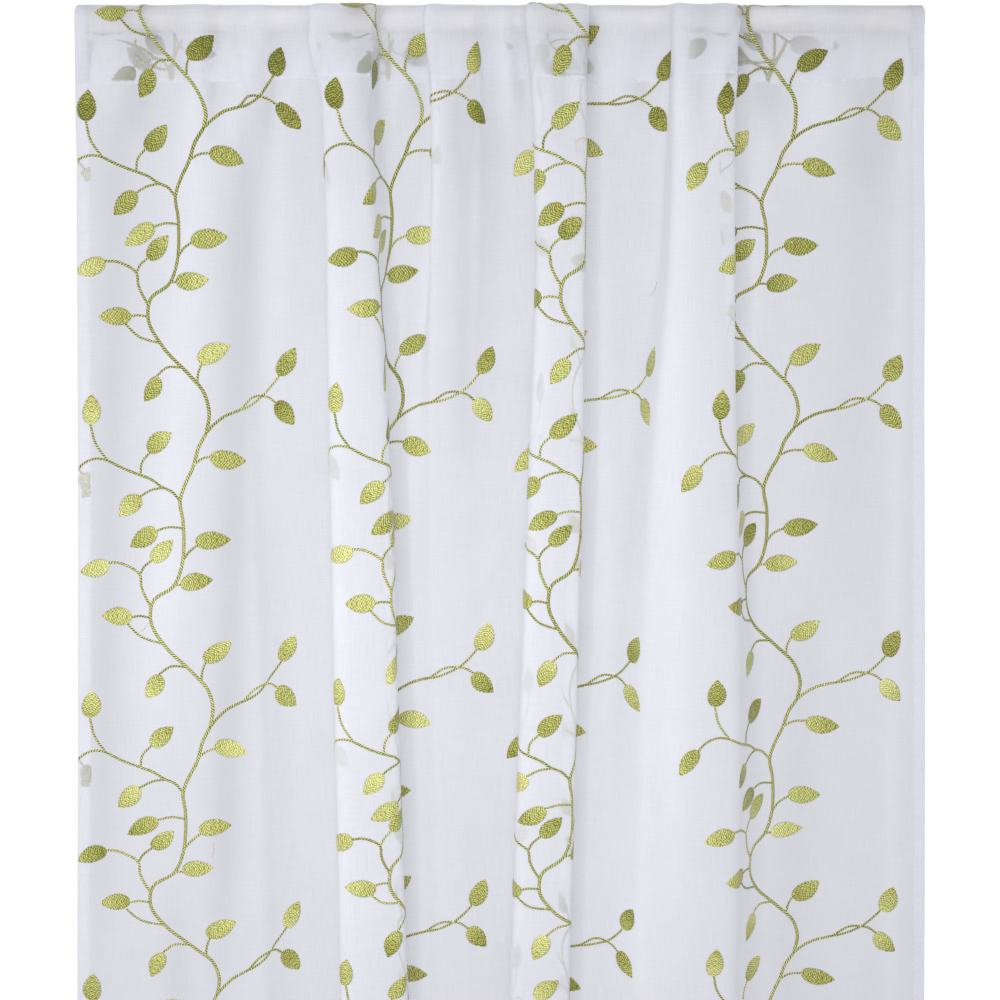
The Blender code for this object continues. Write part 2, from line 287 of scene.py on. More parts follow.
@dataclass(frozen=True)
class VoileFinish:
    """Sheer white voile: a slubby plain weave that lets part of the light straight through.

    Its UV map is the flat cut in metres. The point attribute "layers" says how many times the cloth
    counts: more where it is steep, and raised or lowered as painted highlight and shade on the ridges and
    troughs of the gathers and ripples and on the fronts of folds; where it counts more, the cloth is whiter.
    """

    name: str = "voile"
    colour: Colour = linear(241, 242, 247)
    cover: float = 0.56            # share of the area that the yarns cover
    slub: float = 0.08             # how much the cover changes along single yarns
    translucent: float = 0.46      # share of the light on the yarns that comes out on the other side
    yarn_pitch: float = 0.00055    # metres between yarns
    thin_tint: Colour = linear(235, 235, 241)
    warp_cells: Triple = (1150.0, 34.0, 1.0)    # cells for each metre across and down
    weft_cells: Triple = (40.0, 1050.0, 1.0)
    cloud_cells: Triple = (26.0, 18.0, 1.0)
    uneven_shares: Triple = (0.42, 0.34, 0.24)  # of warp, weft and clouds
    cover_run: Pair = (0.30, 0.70)    # unevenness at which the cover is least and most
    tint_run: Pair = (0.35, 0.65)     # unevenness at which the colour is the thin one and the full one
    even_yarn: float = 0.68        # value of the yarns' waves that leaves the cover as it is
    yarn_step: float = 0.12        # how much the yarns' waves change the cover

    def material(self) -> bpy.types.Material:
        """Returns the material: yarns as a scattering mix over a see-through ground."""
        g = Graph(bpy.data.materials.new(self.name))
        cut = g.add("ShaderNodeUVMap", uv_map="cut").outputs[0]
        warp, weft = g.noise(cut, self.warp_cells), g.noise(cut, self.weft_cells)
        clouds = g.noise(cut, self.cloud_cells, 3.0)
        period = 2 * np.pi / 20 / self.yarn_pitch    # a wave texture has 20 / 2 pi bands per unit
        waves = [g.add("ShaderNodeTexWave", {"Vector": cut, "Scale": period}, bands_direction=axis,
                       wave_profile="SIN").outputs["Fac"] for axis in ("X", "Y")]
        yarns = g.math("MAXIMUM", *waves)
        uneven = g.blend(zip((warp, weft, clouds), self.uneven_shares))
        cover = g.scaled(uneven, *self.cover_run, self.cover - self.slub / 2, self.cover + self.slub / 2)
        raised = g.math("MULTIPLY", g.math("SUBTRACT", yarns, self.even_yarn), self.yarn_step)
        cover = g.math("ADD", cover, raised, clamp=True)
        layers = g.add("ShaderNodeAttribute", attribute_name="layers").outputs["Fac"]
        gap = g.math("POWER", g.math("SUBTRACT", 1.0, cover), layers)
        tint = g.mix(g.scaled(uneven, *self.tint_run, 0.0, 1.0), self.thin_tint, self.colour)
        height = g.math("ADD", uneven, g.math("MULTIPLY", yarns, 0.25))
        normal = g.bump(height, 0.12, 0.0006)
        yarn = g.surface(Base_Color=tint, Roughness=0.82, Normal=normal, Sheen_Weight=0.25,
                         Sheen_Roughness=0.5, Specular_IOR_Level=0.25)
        through = g.add("ShaderNodeBsdfTranslucent", {"Color": tint, "Normal": normal}).outputs[0]
        body = g.mix_shader(self.translucent, yarn, through)
        return g.done(g.mix_shader(gap, body, g.clear()))


class Stitch(Enum):
    """The ways in which the embroidery thread is laid."""

    ROWS = "rows"
    TWIST = "twist"


@dataclass(frozen=True)
class ThreadFinish:
    """Olive embroidery thread. The UV map runs along and across the stitched shape, in millimetres.

    The point attribute "shade" darkens (0) or lightens (1) a whole leaf or stem at random; leaves are also
    darkened over the heading as painted shade. "edge" rises from 0 in the middle of a leaf to 1 at its rim,
    where the stitches end unevenly.
    """

    stitch: Stitch
    # From dark to light: the olive thread, with painted shade between its stitches and painted sheen on them.
    dark: Colour = linear(82, 85, 2)
    middle: Colour = linear(157, 159, 70)
    light: Colour = linear(218, 219, 160)
    pitch: float = 2.6             # millimetres between rows of stitches, along the shape
    slant: float = 0.6             # how far a row runs on for each millimetre across
    length: float = 2.6            # millimetres across that one stitch covers
    drift_cells: Triple = (0.30, 0.30, 1.0)     # cells for each millimetre along and across
    leaf_fibres: Triple = (0.95, 0.34, 1.0)
    stem_fibres: Triple = (0.62, 0.62, 1.0)
    leaf_shares: Triple = (0.27, 0.19, 0.78)    # of rows, single stitches and fibres in the tone
    stem_shares: Triple = (0.52, 0.0, 0.62)
    shade_run: float = 0.45        # how much "shade" changes the tone
    dark_at: float = 0.34          # tones at which the thread is dark, middle and light
    middle_at: float = 0.59
    light_at: float = 0.86
    rim: float = 0.86              # "edge" beyond which the leaf is bare between two rows
    rim_step: float = 0.16         # how much further the rows reach

    def wave(self, g: Graph, turns: Socket) -> Socket:
        """Returns a sine of a number of turns, from 0 to 1."""
        sine = g.math("SINE", g.math("MULTIPLY", turns, 2 * np.pi))
        return g.math("ADD", g.math("MULTIPLY", sine, 0.5), 0.5)

    def material(self) -> bpy.types.Material:
        """Returns the material: rows slanting from a leaf's middle, or a twist along a stem, light on their
        crests as painted sheen and dark in their hollows as painted shade.
        """
        g = Graph(bpy.data.materials.new(f"thread_{self.stitch.value}"))
        cut = g.add("ShaderNodeUVMap", uv_map="cut").outputs[0]
        # Builds the floor as a flat grid.
        parts = g.add("ShaderNodeSeparateXYZ", {0: cut}).outputs
        along, across = parts[0], parts[1]
        shade = g.add("ShaderNodeAttribute", attribute_name="shade").outputs["Fac"]
        edge = g.add("ShaderNodeAttribute", attribute_name="edge").outputs["Fac"]
        leaf = self.stitch is Stitch.ROWS
        aside = g.math("ABSOLUTE", across) if leaf else across
        run = g.math("DIVIDE", g.math("ADD", along, g.math("MULTIPLY", aside, self.slant)), self.pitch)
        run = g.math("ADD", run, g.noise(cut, self.drift_cells))
        ridge = self.wave(g, run)
        row = g.math("MULTIPLY", g.math("FLOOR", run), 0.5)
        dash = self.wave(g, g.math("ADD", g.math("DIVIDE", aside, self.length), row))
        lie = g.add("ShaderNodeCombineXYZ", {0: g.math("MULTIPLY", run, self.pitch), 1: aside}).outputs[0]
        fibre = g.noise(lie, self.leaf_fibres if leaf else self.stem_fibres, 3.0)
        shares = (*(self.leaf_shares if leaf else self.stem_shares), self.shade_run)
        # Painted sheen and shade: the waves of the rows and stitches take the tone from the dark hollows to
        # the light crests; the fibres and "shade" vary the thread's tone further.
        tone = g.blend(zip((ridge, dash, fibre, g.math("SUBTRACT", shade, 0.5)), shares))
        tint = g.add("ShaderNodeValToRGB", {0: tone})
        first, last = tint.color_ramp.elements
        first.position, first.color = self.dark_at, self.dark
        last.position, last.color = self.light_at, self.light
        tint.color_ramp.elements.new(self.middle_at).color = self.middle
        normal = g.bump(g.math("ADD", ridge, g.math("MULTIPLY", dash, 0.5)), 0.5, 0.0006)
        thread = g.surface(Base_Color=tint.outputs[0], Roughness=0.62, Normal=normal,
                           Sheen_Weight=0.3, Sheen_Roughness=0.4, Specular_IOR_Level=0.35)
        reach = g.math("ADD", self.rim, g.math("MULTIPLY", ridge, self.rim_step))
        return g.done(g.mix_shader(g.math("GREATER_THAN", edge, reach), thread, g.clear()))


@dataclass(frozen=True)
class SewingFinish:
    """White sewing thread, slightly shiny."""

    name: str = "sewing_thread"
    colour: Colour = linear(236, 236, 240)
    # painted shade of the twist's hollows, mixed in by the grain
    twist_shade: Colour = linear(205, 205, 212)

    def material(self) -> bpy.types.Material:
        """Returns the material: a fine grain like that of twisted thread, darker in places as painted shade
        of the twist's hollows.
        """
        g = Graph(bpy.data.materials.new(self.name))
        place = g.add("ShaderNodeTexCoord").outputs["Object"]
        twist = g.noise(place, (1800.0, 1800.0, 1800.0))
        tint = g.mix(g.scaled(twist, 0.3, 0.7, 0.0, 1.0), self.twist_shade, self.colour)
        return g.done(g.surface(Base_Color=tint, Roughness=0.55, Normal=g.bump(twist, 0.4, 0.0003)))


@dataclass(frozen=True)
class PaintFinish:
    """White satin paint on the rod, set a light grey as painted shade of the rod inside the pocket, with the
    faint orange-peel and rub marks of a used rod.
    """

    name: str = "white_paint"
    # painted shade: the white paint is set a light grey, and the rubbed streaks greyer, so that the rod looks
    # shaded inside the pocket
    colour: Colour = linear(216, 216, 215)
    rubbed: Colour = linear(203, 203, 201)

    def material(self) -> bpy.types.Material:
        """Returns the material: paint with fine unevenness and duller streaks along the rod."""
        g = Graph(bpy.data.materials.new(self.name))
        place = g.add("ShaderNodeTexCoord").outputs["Object"]
        peel = g.noise(place, (900.0, 900.0, 900.0))
        rub = g.noise(place, (14.0, 160.0, 160.0), 4.0)
        tint = g.mix(g.scaled(rub, 0.45, 0.75, 0.0, 1.0), self.colour, self.rubbed)
        rough = g.scaled(rub, 0.3, 0.7, 0.56, 0.72)
        return g.done(g.surface(Base_Color=tint, Roughness=rough, Normal=g.bump(peel, 0.12, 0.0004),
                                Specular_IOR_Level=0.25))


@dataclass(frozen=True)
class FloorFinish:
    """Plain pale studio floor."""

    name: str = "studio_floor"
    colour: Colour = linear(236, 236, 236)
    cloudy: Colour = linear(228, 228, 229)

    def material(self) -> bpy.types.Material:
        """Returns the material: a matt ground with very faint clouds."""
        g = Graph(bpy.data.materials.new(self.name))
        place = g.add("ShaderNodeTexCoord").outputs["Object"]
        cloud = g.noise(place, (3.0, 3.0, 3.0), 4.0)
        tint = g.mix(g.scaled(cloud, 0.3, 0.7, 0.0, 1.0), self.cloudy, self.colour)
        return g.done(g.surface(Base_Color=tint, Roughness=0.8))


# ------------------------------------------------------------------------------------ how the cloth hangs
# Left and right edge of the cloth at each height. Columns: drop, left, right.
EDGES = np.array([
    (0, -420, 421), (63, -423, 426), (130, -427, 433), (400, -437, 448), (700, -448, 461),
    (1050, -463, 474), (2119, -485, 495),
], float)

# How far forward the fronts and the feet of the folds lie. Columns: drop, front, foot.
DEPTHS = np.array([
    (0, 44, 14.4), (63, 38, 3), (130, 38, -14), (240, 40, -22), (400, 42, -26), (700, 42, -24),
    (1050, 38, -22), (2119, 34, -20),
], float)

# Level of the cloth between the folds, as a share of the depth from foot to front.
# Columns: drop, left zone, zones between folds 1-2, 2-3, 3-4 and 4-5, right zone.
LEVELS = np.array([
    (0, 0.25, 0.10, 0.05, 0.05, 0.05, 0.05),
    (130, 0.42, 0.15, 0.00, 0.06, 0.08, 0.05),
    (400, 0.55, 0.20, 0.00, 0.06, 0.12, 0.02),
    (700, 0.60, 0.22, 0.00, 0.04, 0.18, 0.00),
    (1050, 0.60, 0.22, 0.05, 0.04, 0.20, 0.00),
    (2119, 0.40, 0.15, 0.10, 0.05, 0.10, 0.10),
], float)

# The five folds from left to right. Columns: drop, left side, right side, height as a share of the
# depth, left tuck, right tuck. A positive tuck draws the foot in, a negative one is a soft slope.
FOLDS = [
    np.array([    # a soft shoulder near the left side
        (0, -320, -268, 0.45, -45, -30),
        (130, -318, -262, 0.56, -45, -30),
        (400, -316, -258, 0.66, -45, -28),
        (700, -312, -254, 0.70, -45, -28),
        (1050, -310, -255, 0.70, -45, -30),
        (2119, -340, -270, 0.70, -40, -35),
    ], float),
    np.array([    # a box fold left of the middle
        (0, -186, -122, 1.00, 4, -6),
        (40, -185, -124, 1.00, 6, -8),
        (80, -176, -127, 1.00, 9, -10),
        (130, -175, -128, 1.00, 11, -12),
        (300, -175, -122, 1.00, 12, -6),
        (400, -175, -116, 1.00, 12, 3),
        (480, -175, -113, 1.00, 12, 10),
        (700, -174, -109, 1.00, 12, 12),
        (1050, -173, -101, 1.00, 12, 12),
        (2119, -180, -95, 1.00, 10, 10),
    ], float),
    np.array([    # a low fold that dies out on its way down
        (0, -73, -25, 0.70, 4, -18),
        (63, -66, -22, 0.66, 6, -20),
        (130, -66, -20, 0.62, 7, -22),
        (240, -70, -22, 0.45, 0, -22),
        (400, -74, -30, 0.22, -12, -20),
        (700, -72, -38, 0.10, -12, -14),
        (1050, -66, -34, 0.10, -12, -12),
        (2119, -55, -32, 0.35, -10, -10),
    ], float),
    np.array([    # a sharp box fold right of the middle
        (0, 25, 88, 1.00, 5, 5),
        (63, 33, 87, 1.00, 9, 8),
        (130, 35, 86, 1.00, 13, 11),
        (240, 37, 85, 1.00, 13, 12),
        (400, 32, 85, 1.00, 13, 12),
        (700, 22, 80, 1.02, 14, 12),
        (1050, 11, 74, 1.05, 14, 12),
        (2119, 2, 72, 1.10, 12, 10),
    ], float),
    np.array([    # sharp at the top, wide and soft below
        (0, 170, 237, 0.95, 2, 5),
        (63, 173, 233, 1.00, 0, 9),
        (130, 174, 234, 1.00, -5, 10),
        (240, 172, 237, 1.00, -8, 7),
        (400, 160, 241, 1.00, -20, -8),
        (700, 150, 252, 0.95, -35, -26),
        (1050, 150, 255, 0.90, -38, -30),
        (2119, 165, 262, 1.00, -30, -26),
    ], float),
]

# One side of a fold as points. Columns: soft slopes out, step out, tuck, share of the width in, rise.
FOLD_SIDE = np.array([
    (0.30, 10.0, 1.0, 0.00, 0.00),
    (0.00, 0.0, 1.0, 0.00, 0.10),
    (0.35, 0.0, 0.0, 0.00, 0.52),
    (0.00, 0.0, 0.0, 0.02, 0.90),
    (0.00, 0.0, 0.0, 0.20, 0.985),
])

# Gathers of the pocket, which run over the rod and fade below the stitch line: ridges (height above 0)
# and troughs. Columns: x at the stitch line, slant in mm across for each mm down, width, height,
# reach up, reach down.
GATHERS = np.array([
    (-395, 0.02, 12, 1.6, 90, 40), (-358, -0.20, 14, -3.2, 90, 50), (-303, -0.05, 10, 3.6, 110, 70),
    (-286, -0.12, 6, -3.6, 110, 60), (-255, -0.24, 9, 3.8, 110, 60), (-230, -0.10, 6, -3.4, 110, 70),
    (-205, -0.45, 6, 2.4, 60, 30), (-131, 0.04, 11, -3.6, 110, 70), (-104, -0.10, 5, 1.8, 80, 40),
    (-84, 0.10, 5, -2.2, 60, 50), (-66, 0.09, 6, 3.4, 110, 60), (-33, -0.08, 11, -3.2, 110, 70),
    (3, 0.02, 9, 3.0, 110, 30), (21, 0.05, 4, -3.2, 110, 25), (35, 0.06, 6, 2.8, 110, 50),
    (58, 0.05, 8, -3.4, 110, 60), (76, 0.02, 5, 1.8, 80, 60), (89, 0.04, 4, -2.4, 110, 60),
    (118, 0.05, 12, 3.0, 110, 26), (142, -0.15, 8, -2.6, 110, 30), (174, 0.02, 7, 3.4, 110, 60),
    (196, -0.04, 7, -3.0, 110, 50), (217, -0.10, 7, 2.8, 110, 60), (238, 0.00, 4, -2.6, 110, 60),
    (268, 0.10, 16, -3.4, 110, 36), (324, -0.06, 15, 3.8, 110, 70), (358, 0.30, 5, -1.6, 60, 20),
    (381, -0.03, 15, -3.6, 110, 80), (408, 0.05, 7, 1.8, 60, 60),
], float)

# Small puckers of the gathered stitch line, as waves across the flat cloth. Columns: length, height, phase.
PUCKERS = np.array([(31.0, 0.45, 0.4), (19.7, 0.45, 2.1), (12.9, 0.40, 4.0), (8.3, 0.22, 1.2)])

# How far the stitch line is drawn up by the gathers. Columns: u, rise.
SEAM_RISE = np.array([
    (0, 0), (110, 0.5), (190, 1.5), (250, 6), (275, 2), (330, 5), (420, 2), (540, 4), (640, 5), (720, 1),
    (800, 1), (880, 5), (950, 7), (1010, 3), (1090, 1), (1160, 6), (1220, 9),
], float)

# Long soft ripples of the hanging cloth. Columns: x above, x below, width, height, from drop, to drop.
RIPPLES = np.array([
    (-384, -440, 20, -2.2, 60, 1050), (-304, -372, 22, 3.2, 80, 760), (-258, -308, 20, -2.8, 100, 1100),
    (-226, -242, 13, 2.0, 90, 520), (-64, -92, 9, 2.2, 80, 520), (-34, -40, 13, -2.2, 60, 480),
    (104, 118, 8, 1.2, 120, 900), (176, 190, 18, 2.4, 80, 1000), (268, 262, 12, 1.4, 90, 420),
    (380, 372, 32, -1.2, 70, 620), (330, 326, 26, -1.6, 600, 1400), (412, 446, 9, 1.8, 80, 1400),
    (130, 134, 20, 1.8, 800, 1500), (-350, -366, 16, -1.8, 900, 1700), (30, 20, 24, 1.8, 1100, 1900),
    (-60, -40, 26, -2.0, 1100, 2000), (300, 310, 30, 2.4, 1200, 2200), (-230, -250, 30, 2.4, 1200, 2200),
], float)

# Painted highlight: four of the five folds' fronts are painted whiter than one layer is, most near their left
# sides, where the light falls, and a little again at their right edges to lighten their shade. They count as
# if more cloth lay there: a share for each fold, and how the extra runs from a fold's left side to its right
# one. Columns: place in fold points, extra.
FOLD_HIGHLIGHT = (0.0, 1.0, 0.15, 1.0, 0.75)
FOLD_HIGHLIGHT_RUN = np.array([(1.6, 0.0), (3.0, 0.78), (5.0, 0.34), (7.0, 0.04), (7.8, 0.26), (9.2, 0.0)])


@dataclass
class Drape:
    """Where each point of the flat cloth hangs, as a table of points over v (rows) and u (columns).

    A section at one height is a smooth curve through the fold points of the tables. Its depth is set by
    halving so that it is as long as the cloth is wide. Over the rod the folds shrink with the cosine of
    the angle round it. The back layer comes straight down to the stitch line behind the front one and is
    turned up between the two.
    """

    width: float = 1220.0
    length: float = 2119.0
    seam: float = 63.0
    sleeve_radius: float = 14.3
    sleeve_sag: float = 0.4
    sleeve_ease: float = 6.0         # spare cloth of the pocket, which crinkles on top of the rod
    turn_depth: float = 46.0         # cloth turned up inside the pocket, in front of its back layer
    turn_gap: float = 0.4
    layer_step: float = 1.3          # between the pocket's layers at the stitch line
    layer_spread: float = 1.5        # how much more they part on the way up
    row_step: float = 6.0            # between rows; half of it down to the drop in the next line
    close_rows: float = 260.0
    column_step: float = 1.0
    fine: int = 24                   # steps for each stretch of a section
    smooth_reach: float = 30.0
    depth_limits: Pair = (0.3, 1.3)
    arc_rows: int = 18
    back_rows: int = 12
    turn_rows: int = 9
    fold_gap: float = 3.0            # from the fold to the nearest row of what is turned up
    rod_gap: float = 6.0             # from the rod's axis down to the back layer's uppermost row
    halvings: int = 24               # steps in which a section's depth is found
    rod_play: float = 1.2            # deepest trough over the rod
    play_growth: float = 0.06        # how much deeper it may be for each millimetre down
    ridge_shading: float = 0.19          # painted highlight and shade: how much more the cloth counts, so whiter, for each millimetre of a ridge; less in a trough
    ridge_shading_limits: Pair = (-0.5, 0.9)
    back_ridge_shading: float = 0.4      # share of that which is left at the turned-up edge
    steepest: float = 0.25           # least facing, the forward part of the normal, that counts
    steep_power: float = -0.6        # the cloth counts as its facing to this power
    least_relief: float = 0.1        # least share of the gathers that goes round the rod
    gather_growth: float = 0.012     # share by which a gather widens for each millimetre from the stitch line
    ripple_rise: Pair = (-0.06, 0.12)    # shares of a ripple's run over which it rises
    ripple_fall: Pair = (0.7, 1.1)
    pucker_reach: Pair = (24.0, 16.0)    # above and below the stitch line
    even_columns: float = 0.48       # share of the spacing of columns that is the same everywhere

    def __post_init__(self) -> None:
        """Works out the table of points and their outward normals, in millimetres."""
        self.u = np.arange(0, self.width + self.column_step / 2, self.column_step)
        drops = np.unique(np.concatenate([
            np.arange(0, self.close_rows, self.row_step / 2),
            np.arange(self.close_rows, self.length, self.row_step), [self.length, self.seam],
        ]))
        sections = [self.section(drop) for drop in drops]
        self.stretches = np.array([part[2] for part in sections])
        front = np.array([
            np.stack([x, -forward, np.full_like(x, -drop)], axis=-1)
            for drop, (x, forward, _) in zip(drops, sections)
        ])
        front_normal = -normals(front)
        waves = self.waves(front[..., 0], drops[:, None])
        lift = waves + self.puckers(drops[:, None])
        lift = np.maximum(lift, -self.rod_play - self.play_growth * drops[:, None])
        back, back_v = self.over_rod(drops, front, front_normal, lift)
        front = front + front_normal * lift[..., None]
        self.points = np.concatenate([back, front])
        self.v = np.concatenate([back_v, drops])
        self.normal = -normals(self.points)
        # Painted highlight and shade: ridges of the gathers and ripples count more and come out whiter,
        # troughs count less and come out darker, and the fold fronts get their painted highlight.
        close = np.clip(self.ridge_shading * waves, *self.ridge_shading_limits) + self.doubled()
        over = np.linspace(self.back_ridge_shading, 1, len(back))[:, None] * close[:1]
        facing = np.clip(np.abs(self.normal[..., 1]), self.steepest, 1.0)
        facing[:self.turn_rows + self.back_rows] = 1.0
        self.layers = (facing ** self.steep_power * (1 + np.concatenate([over, close])))[..., None]

    def fold_points(self, fold: Array, drop: float, foot: float, depth: float,
                    level_left: float, level_right: float) -> list[tuple[float, float]]:
        """Works out the points of one fold's outline at a height.

        Args:
            fold: the fold's table.
            drop: the height, down from the rod's axis.
            foot: how far forward the feet of the folds lie.
            depth: from there to the fronts.
            level_left: level of the cloth left of the fold.
            level_right: level of the cloth right of the fold.

        Returns:
            (x, forward) from left to right.
        """
        left, right, share, tuck_left, tuck_right = table_row(fold, drop)
        top = foot + share * depth
        width = right - left
        points = []
        for soft, out, tuck, inward, rise in FOLD_SIDE:
            x = left + tuck * tuck_left - out - soft * max(0.0, -tuck_left) + inward * width
            points.append((x, level_left + rise * (top - level_left)))
        points.append(((left + right) / 2, top))
        for soft, out, tuck, inward, rise in FOLD_SIDE[::-1]:
            x = right - tuck * tuck_right + out + soft * max(0.0, -tuck_right) - inward * width
            points.append((x, level_right + rise * (top - level_right)))
        return points

    def section(self, drop: float) -> tuple[Array, Array, Array]:
        """Works out the curve that the cloth makes at one height.

        Args:
            drop: the height, down from the rod's axis.

        Returns:
            x, forward and the place in fold points, each at every u of the table.
        """
        left, right = table_row(EDGES, drop)
        front, foot = table_row(DEPTHS, drop)
        depth = front - foot
        levels = [foot + depth * share for share in table_row(LEVELS, drop)]
        points = [(left, levels[0])]
        for number, fold in enumerate(FOLDS):
            points += self.fold_points(fold, drop, foot, depth, levels[number], levels[number + 1])
        points.append((right, levels[-1]))
        full = np.array(points)
        places = np.arange((len(full) - 1) * self.fine + 1) / self.fine

        def curve(scale: float) -> Array:
            """Returns the smooth curve with the depth scaled, knots spaced by the root of the chord."""
            scaled = np.stack([full[:, 0], foot + (full[:, 1] - foot) * scale], axis=1)
            chords = np.linalg.norm(np.diff(scaled, axis=0), axis=1) ** 0.5
            knots = np.concatenate([[0.0], np.cumsum(chords)])
            at = np.interp(places, np.arange(len(full)), knots)
            return np.stack([hermite(knots, scaled[:, k], at) for k in (0, 1)], axis=1)

        low, high = self.depth_limits
        for _ in range(self.halvings):
            scale = (low + high) / 2
            if run_lengths(curve(scale))[-1] < self.width:
                low = scale
            else:
                high = scale
        points_on = curve(scale)
        lengths = run_lengths(points_on)
        flat = lengths * self.width / lengths[-1]
        return (np.interp(self.u, flat, points_on[:, 0]), np.interp(self.u, flat, points_on[:, 1]),
                np.interp(self.u, flat, places) / places[-1])

    def spread(self, x: Array) -> Array:
        """Returns x evened out over the cloth on both sides, a moving mean with straight ends."""
        reach = int(self.smooth_reach / self.column_step)
        before = x[0] + (np.arange(-reach, 0)) * (x[1] - x[0])
        after = x[-1] + (np.arange(1, reach + 1)) * (x[-1] - x[-2])
        padded = np.concatenate([before, x, after])
        return np.convolve(padded, np.ones(2 * reach + 1) / (2 * reach + 1), mode="valid")

    def over_rod(self, drops: Array, front: Array, front_normal: Array,
                 lift: Array) -> tuple[Array, Array]:
        """Works out the rows from the turned-up edge, up the back layer and over the rod to its front.

        Args:
            drops: heights of the front rows.
            front: the front rows without relief.
            front_normal: their normals.
            lift: their relief.

        Returns:
            The rows of points and their v.
        """
        seam_row = int(np.searchsorted(drops, self.seam))
        rod_row = front[0]
        x_top = self.spread(rod_row[:, 0])
        bulge = np.maximum(-rod_row[:, 1] - self.sleeve_radius, 0.0)
        gathered = lift[0]
        behind = front[seam_row] - front_normal[seam_row] * self.layer_step
        reach = np.hypot(behind[:, 1], behind[:, 2])
        leave = 2 * np.pi + np.arctan2(behind[:, 2], -behind[:, 1]) - np.arccos(self.sleeve_radius / reach)
        arc = []
        for share in np.linspace(0, 1, self.arc_rows + 1)[1:]:
            angle = leave * share
            fade = np.maximum(np.cos(angle), 0.0)
            relief = gathered * np.clip(np.cos(angle), self.least_relief, 1) * (1 - share)
            radius = self.sleeve_radius + relief
            x = x_top + (rod_row[:, 0] - x_top) * fade
            forward = radius * np.cos(angle) + bulge * fade
            arc.append(np.stack([x, -forward, radius * np.sin(angle) - self.sleeve_sag * share], axis=-1))
        off_rod = arc[-1]
        rise = self.seam - self.seam_line(self.u)

        def behind_front(drop: float, gap: float) -> Array:
            """Returns the back layer's row at a height, or one so far in front of it."""
            row = int(np.argmin(np.abs(drops - drop)))
            share = ((self.seam - drops[row]) / (self.seam + off_rod[:, 2]))[:, None]
            step = self.layer_step + self.layer_spread * share - gap
            relief = lift[row][:, None] * (1 - share)
            parted = front[row] - front_normal[row] * (step - relief)
            against = off_rod.copy()
            against[:, 0] = self.spread(front[row][:, 0])
            against[:, 1] -= gap
            layer = parted * (1 - share) + against * share
            layer[:, 2] = parted[:, 2] + rise * (1 - share[:, 0])
            return layer

        back = [behind_front(drop, 0.0) for drop in np.linspace(self.seam, self.rod_gap, self.back_rows)]
        turned_drops = np.linspace(self.seam - self.turn_depth, self.seam - self.fold_gap, self.turn_rows)
        turned = [behind_front(drop, self.turn_gap) for drop in turned_drops]
        arc_run = self.sleeve_radius * float(leave.mean()) + self.sleeve_ease
        back_run = self.seam + float(off_rod[:, 2].mean())
        self.fold = -arc_run - back_run
        self.top = self.fold - self.turn_depth
        turn_v = np.linspace(self.top, self.fold - self.fold_gap, self.turn_rows)
        last_share = 1 - (self.seam - self.rod_gap) / back_run
        back_v = -arc_run - back_run * np.linspace(1, last_share, self.back_rows)
        arc_v = -arc_run * np.linspace(1, 0, self.arc_rows + 1)[:-1]
        return np.array(turned + back + arc[::-1]), np.concatenate([turn_v, back_v, arc_v])

    def waves(self, x: Array, drop: Array) -> Array:
        """Works out how far the gathers and ripples stand out from the plain folds.

        A gather or ripple is a bell curve across, exp(-(distance / width)^2), on a slanting line, and
        fades with the height.

        Args:
            x: place across as hung, rows x columns.
            drop: the rows' heights, rows x 1.

        Returns:
            The relief, rows x columns.
        """
        total = np.zeros_like(x)
        below = drop - self.seam
        for place, slant, width, height, up, down in GATHERS:
            fade = np.exp(-np.where(below < 0, (below / up) ** 2, (below / down) ** 2))
            wide = width * (1 + self.gather_growth * np.abs(below))
            total += height * fade * np.exp(-((x - place - slant * below) / wide) ** 2)
        for place, place_low, width, height, start, end in RIPPLES:
            share = (drop - start) / (end - start)
            line = place + (place_low - place) * share
            fade = smooth_step(*self.ripple_rise, share) * (1 - smooth_step(*self.ripple_fall, share))
            total += height * fade * np.exp(-((x - line) / width) ** 2)
        return total

    def puckers(self, drop: Array) -> Array:
        """Returns the small puckers: sines across the flat cloth that fade away from the stitch line."""
        below = drop - self.seam
        above_reach, below_reach = self.pucker_reach
        near = np.exp(-np.where(below < 0, (below / above_reach) ** 2, (below / below_reach) ** 2))
        return near * sum(height * np.sin(self.u * 2 * np.pi / length + phase)
                          for length, height, phase in PUCKERS)

    def doubled(self) -> Array:
        """Returns the painted highlight on the folds' fronts: how much more than once they count, by fold and
        place on the fold.
        """
        fold_points = len(FOLD_SIDE) * 2 + 1
        place = self.stretches * (fold_points * len(FOLDS) + 1)
        return sum(share * np.interp(place - 1 - number * fold_points, *FOLD_HIGHLIGHT_RUN.T)
                   for number, share in enumerate(FOLD_HIGHLIGHT))

    def columns(self, count: int, v: Array) -> Array:
        """Spaces columns over the cloth, closer together where a fold turns sharply.

        Args:
            count: number of columns.
            v: the rows.

        Returns:
            u for each row and column.
        """
        level = np.interp(np.maximum(v, 0), self.v[self.v >= 0], np.arange(len(self.stretches)))
        rows = []
        for place in self.stretches[np.round(level).astype(int)]:
            spacing = self.even_columns * self.u / self.width + (1 - self.even_columns) * place
            rows.append(np.interp(np.linspace(0, 1, count), spacing, self.u))
        return np.array(rows)

    def read(self, table: Array, u: Array, v: Array) -> Array:
        """Returns a table's values at flat points, blended between the four entries around each."""
        row = np.interp(v, self.v, np.arange(len(self.v)))
        column = np.clip(u / self.column_step, 0, len(self.u) - 1)
        r0 = np.clip(row.astype(int), 0, len(self.v) - 2)
        c0 = np.clip(column.astype(int), 0, len(self.u) - 2)
        fr, fc = (row - r0)[..., None], (column - c0)[..., None]
        upper = table[r0, c0] * (1 - fc) + table[r0, c0 + 1] * fc
        lower = table[r0 + 1, c0] * (1 - fc) + table[r0 + 1, c0 + 1] * fc
        return upper * (1 - fr) + lower * fr

